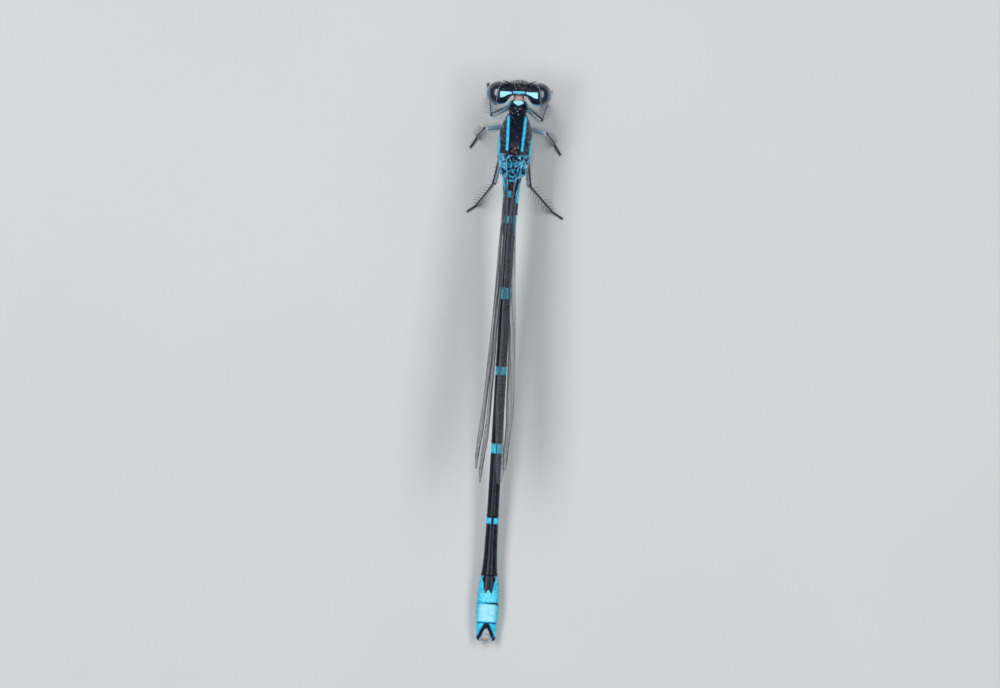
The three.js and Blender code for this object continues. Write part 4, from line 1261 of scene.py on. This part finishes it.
def hair_map(mesh, homes):
    """A small patch for each hair, at its home on a map of the body wound out flat."""
    turn = (np.arctan2(homes[:, 2] - MAP_AXIS_Z, homes[:, 0]) / (2 * math.pi)) % 1.0
    run = np.clip((homes[:, 1] - TAIL_TIP_Y) / MAP_LENGTH, 0, 1)
    corner = np.stack([turn * (1 - MAP_PATCH), run * (1 - MAP_PATCH)], -1)
    shares = [[j / HAIR_SIDES, k / (HAIR_LEVELS - 1)] for k in range(HAIR_LEVELS) for j in range(HAIR_SIDES)]
    uv = (corner[:, None] + (np.array(shares) * MAP_PATCH)[None]).reshape(-1, 2)
    layer = mesh.uv_layers.new(name="OFBake")
    loops = np.empty(len(mesh.loops), np.int32)
    mesh.loops.foreach_get("vertex_index", loops)
    layer.data.foreach_set("uv", uv[loops].astype(np.float32).ravel())


def hairs(body, name, count, weight, length, radius, material, lean):
    """Fine hairs set on the skin where weight is high, each with a small patch of the body's map."""
    seats, normal, homes = hair_seats(body.data, count, weight)
    rings = hair_rings(seats, normal, length, radius, lean)
    piece = add_object(name, rings.reshape(-1, 3), hair_faces(count), material, "black_cuticle")
    hair_map(piece.data, homes)


def thorax_weight(places, normal):
    y = places[:, 1]
    on = np.clip(band(y, 0.6, 5.0) * 3, 0, 1)
    return on * (0.22 + 1.1 * (np.abs(normal[:, 0]) > 0.6)) + 0.02 * (y > 0)


def head_weight(places, normal):
    x, y, z = places.T
    front = np.clip((y - 5.75) * 4, 0, 1) * (z > 2.0)
    rear = np.clip((5.25 - y) * 3, 0, 1) * (y > 4.9) * (np.abs(x) > 0.5)
    fringe = np.clip((y - 5.95) * 8, 0, 1) * (z > 2.8)
    return (front * 1.4 + fringe * 2.5 + rear * 0.7 + 0.1) * (y > 5.05)


def abdomen_weight(places, normal):
    y = places[:, 1]
    return (y < -0.2) * (1 + 3 * (y < -23.5))


def make_hair(body):
    hairs(body, "thorax_hair", 560, thorax_weight, 0.25, 0.0055, HAIR, (0, 0.15, 0.1))
    hairs(body, "head_hair", 420, head_weight, 0.24, 0.0075, HAIR, (0, 0.25, 0.1))
    hairs(body, "abdomen_hair", 1100, abdomen_weight, 0.1, 0.005, DARK_HAIR, (0, -0.9, 0))


body = make_body()
make_eye("eye_dome_left", -1)
make_eye("eye_dome_right", 1)
make_ocelli()
make_antenna("feeler_left", -1)
make_antenna("feeler_right", 1)
for leg_name in LEGS:
    make_leg(leg_name)
for wing_name in WINGS:
    make_wing(wing_name)
make_hair(body)


# Floor, light and camera
FLOOR_HALF_SIDE = 3.0
# Each lamp's place, its size across and along the body, and its power
LAMPS = {
    "key": ((-0.12, 0.05, 0.2), (0.07, 0.26), 0.42),
    "fill": ((0.13, 0.05, 0.19), (0.07, 0.26), 0.3),
    "back": ((0.02, -0.2, 0.12), (0.14, 0.1), 0.07),
    "strip": ((-0.012, -0.02, 0.24), (0.01, 0.24), 0.05),
}
SKY_COLOUR = (0.9, 0.94, 1.0, 1)
SKY_STRENGTH = 0.16


def make_floor():
    mesh = bpy.data.meshes.new("floor")
    corners = [(x * FLOOR_HALF_SIDE, y * FLOOR_HALF_SIDE, 0) for x, y in ((-1, -1), (1, -1), (1, 1), (-1, 1))]
    mesh.from_pydata(corners, [], [(0, 1, 2, 3)])
    mesh.materials.append(plain_material("floor_paint", FLOOR_GREYS, 0.75, scale=60))
    floor = bpy.data.objects.new("floor", mesh)
    bpy.context.scene.collection.objects.link(floor)


def add_light(name, place, size, power):
    """A soft rectangular lamp that faces the insect, size across and size along the body."""
    light = bpy.data.lights.new(name, "AREA")
    light.shape = "RECTANGLE"
    light.size, light.size_y = size
    light.energy = power
    lamp = bpy.data.objects.new(name, light)
    lamp.location = place
    back = Vector(place).normalized()
    body_way = (Vector((0, 1, 0)) - back * back.y).normalized()
    lamp.rotation_euler = Matrix((body_way.cross(back), body_way, back)).transposed().to_euler()
    bpy.context.scene.collection.objects.link(lamp)


def make_light():
    for name, lamp in LAMPS.items():
        add_light(name, *lamp)
    world = bpy.data.worlds.new("studio")
    world.use_nodes = True
    sky = world.node_tree.nodes["Background"]
    sky.inputs["Color"].default_value = SKY_COLOUR
    sky.inputs["Strength"].default_value = SKY_STRENGTH
    bpy.context.scene.world = world


# The photo's framing: where the waist is, its scale, how the body leans in it and the height it is scaled at
IMAGE = (1000, 688)
WAIST_PIXEL = (511.8, 184.0)
PIXELS_PER_MM = 16.53
LEAN = math.radians(3.3)
CAMERA_HEIGHT = 0.8
SCALE_HEIGHT = 1.6
SENSOR = 36.0


def make_camera():
    data = bpy.data.cameras.new("camera")
    data.sensor_width = SENSOR
    data.lens = SENSOR * (CAMERA_HEIGHT / MM - SCALE_HEIGHT) * PIXELS_PER_MM / IMAGE[0]
    data.clip_start, data.clip_end = 0.01, 10.0
    camera = bpy.data.objects.new("camera", data)
    right = Vector((math.cos(LEAN), math.sin(LEAN), 0))
    up = Vector((-math.sin(LEAN), math.cos(LEAN), 0))
    waist = Vector((ORIGIN[0], ORIGIN[1], 0)) * MM
    moved_right = (WAIST_PIXEL[0] - IMAGE[0] / 2) / PIXELS_PER_MM * MM
    moved_up = (IMAGE[1] / 2 - WAIST_PIXEL[1]) / PIXELS_PER_MM * MM
    camera.location = waist - right * moved_right - up * moved_up + Vector((0, 0, CAMERA_HEIGHT))
    camera.rotation_euler = (0, 0, LEAN)
    bpy.context.scene.collection.objects.link(camera)
    bpy.context.scene.camera = camera


make_floor()
make_light()
make_camera()
bpy.context.scene.view_settings.view_transform = "Standard"
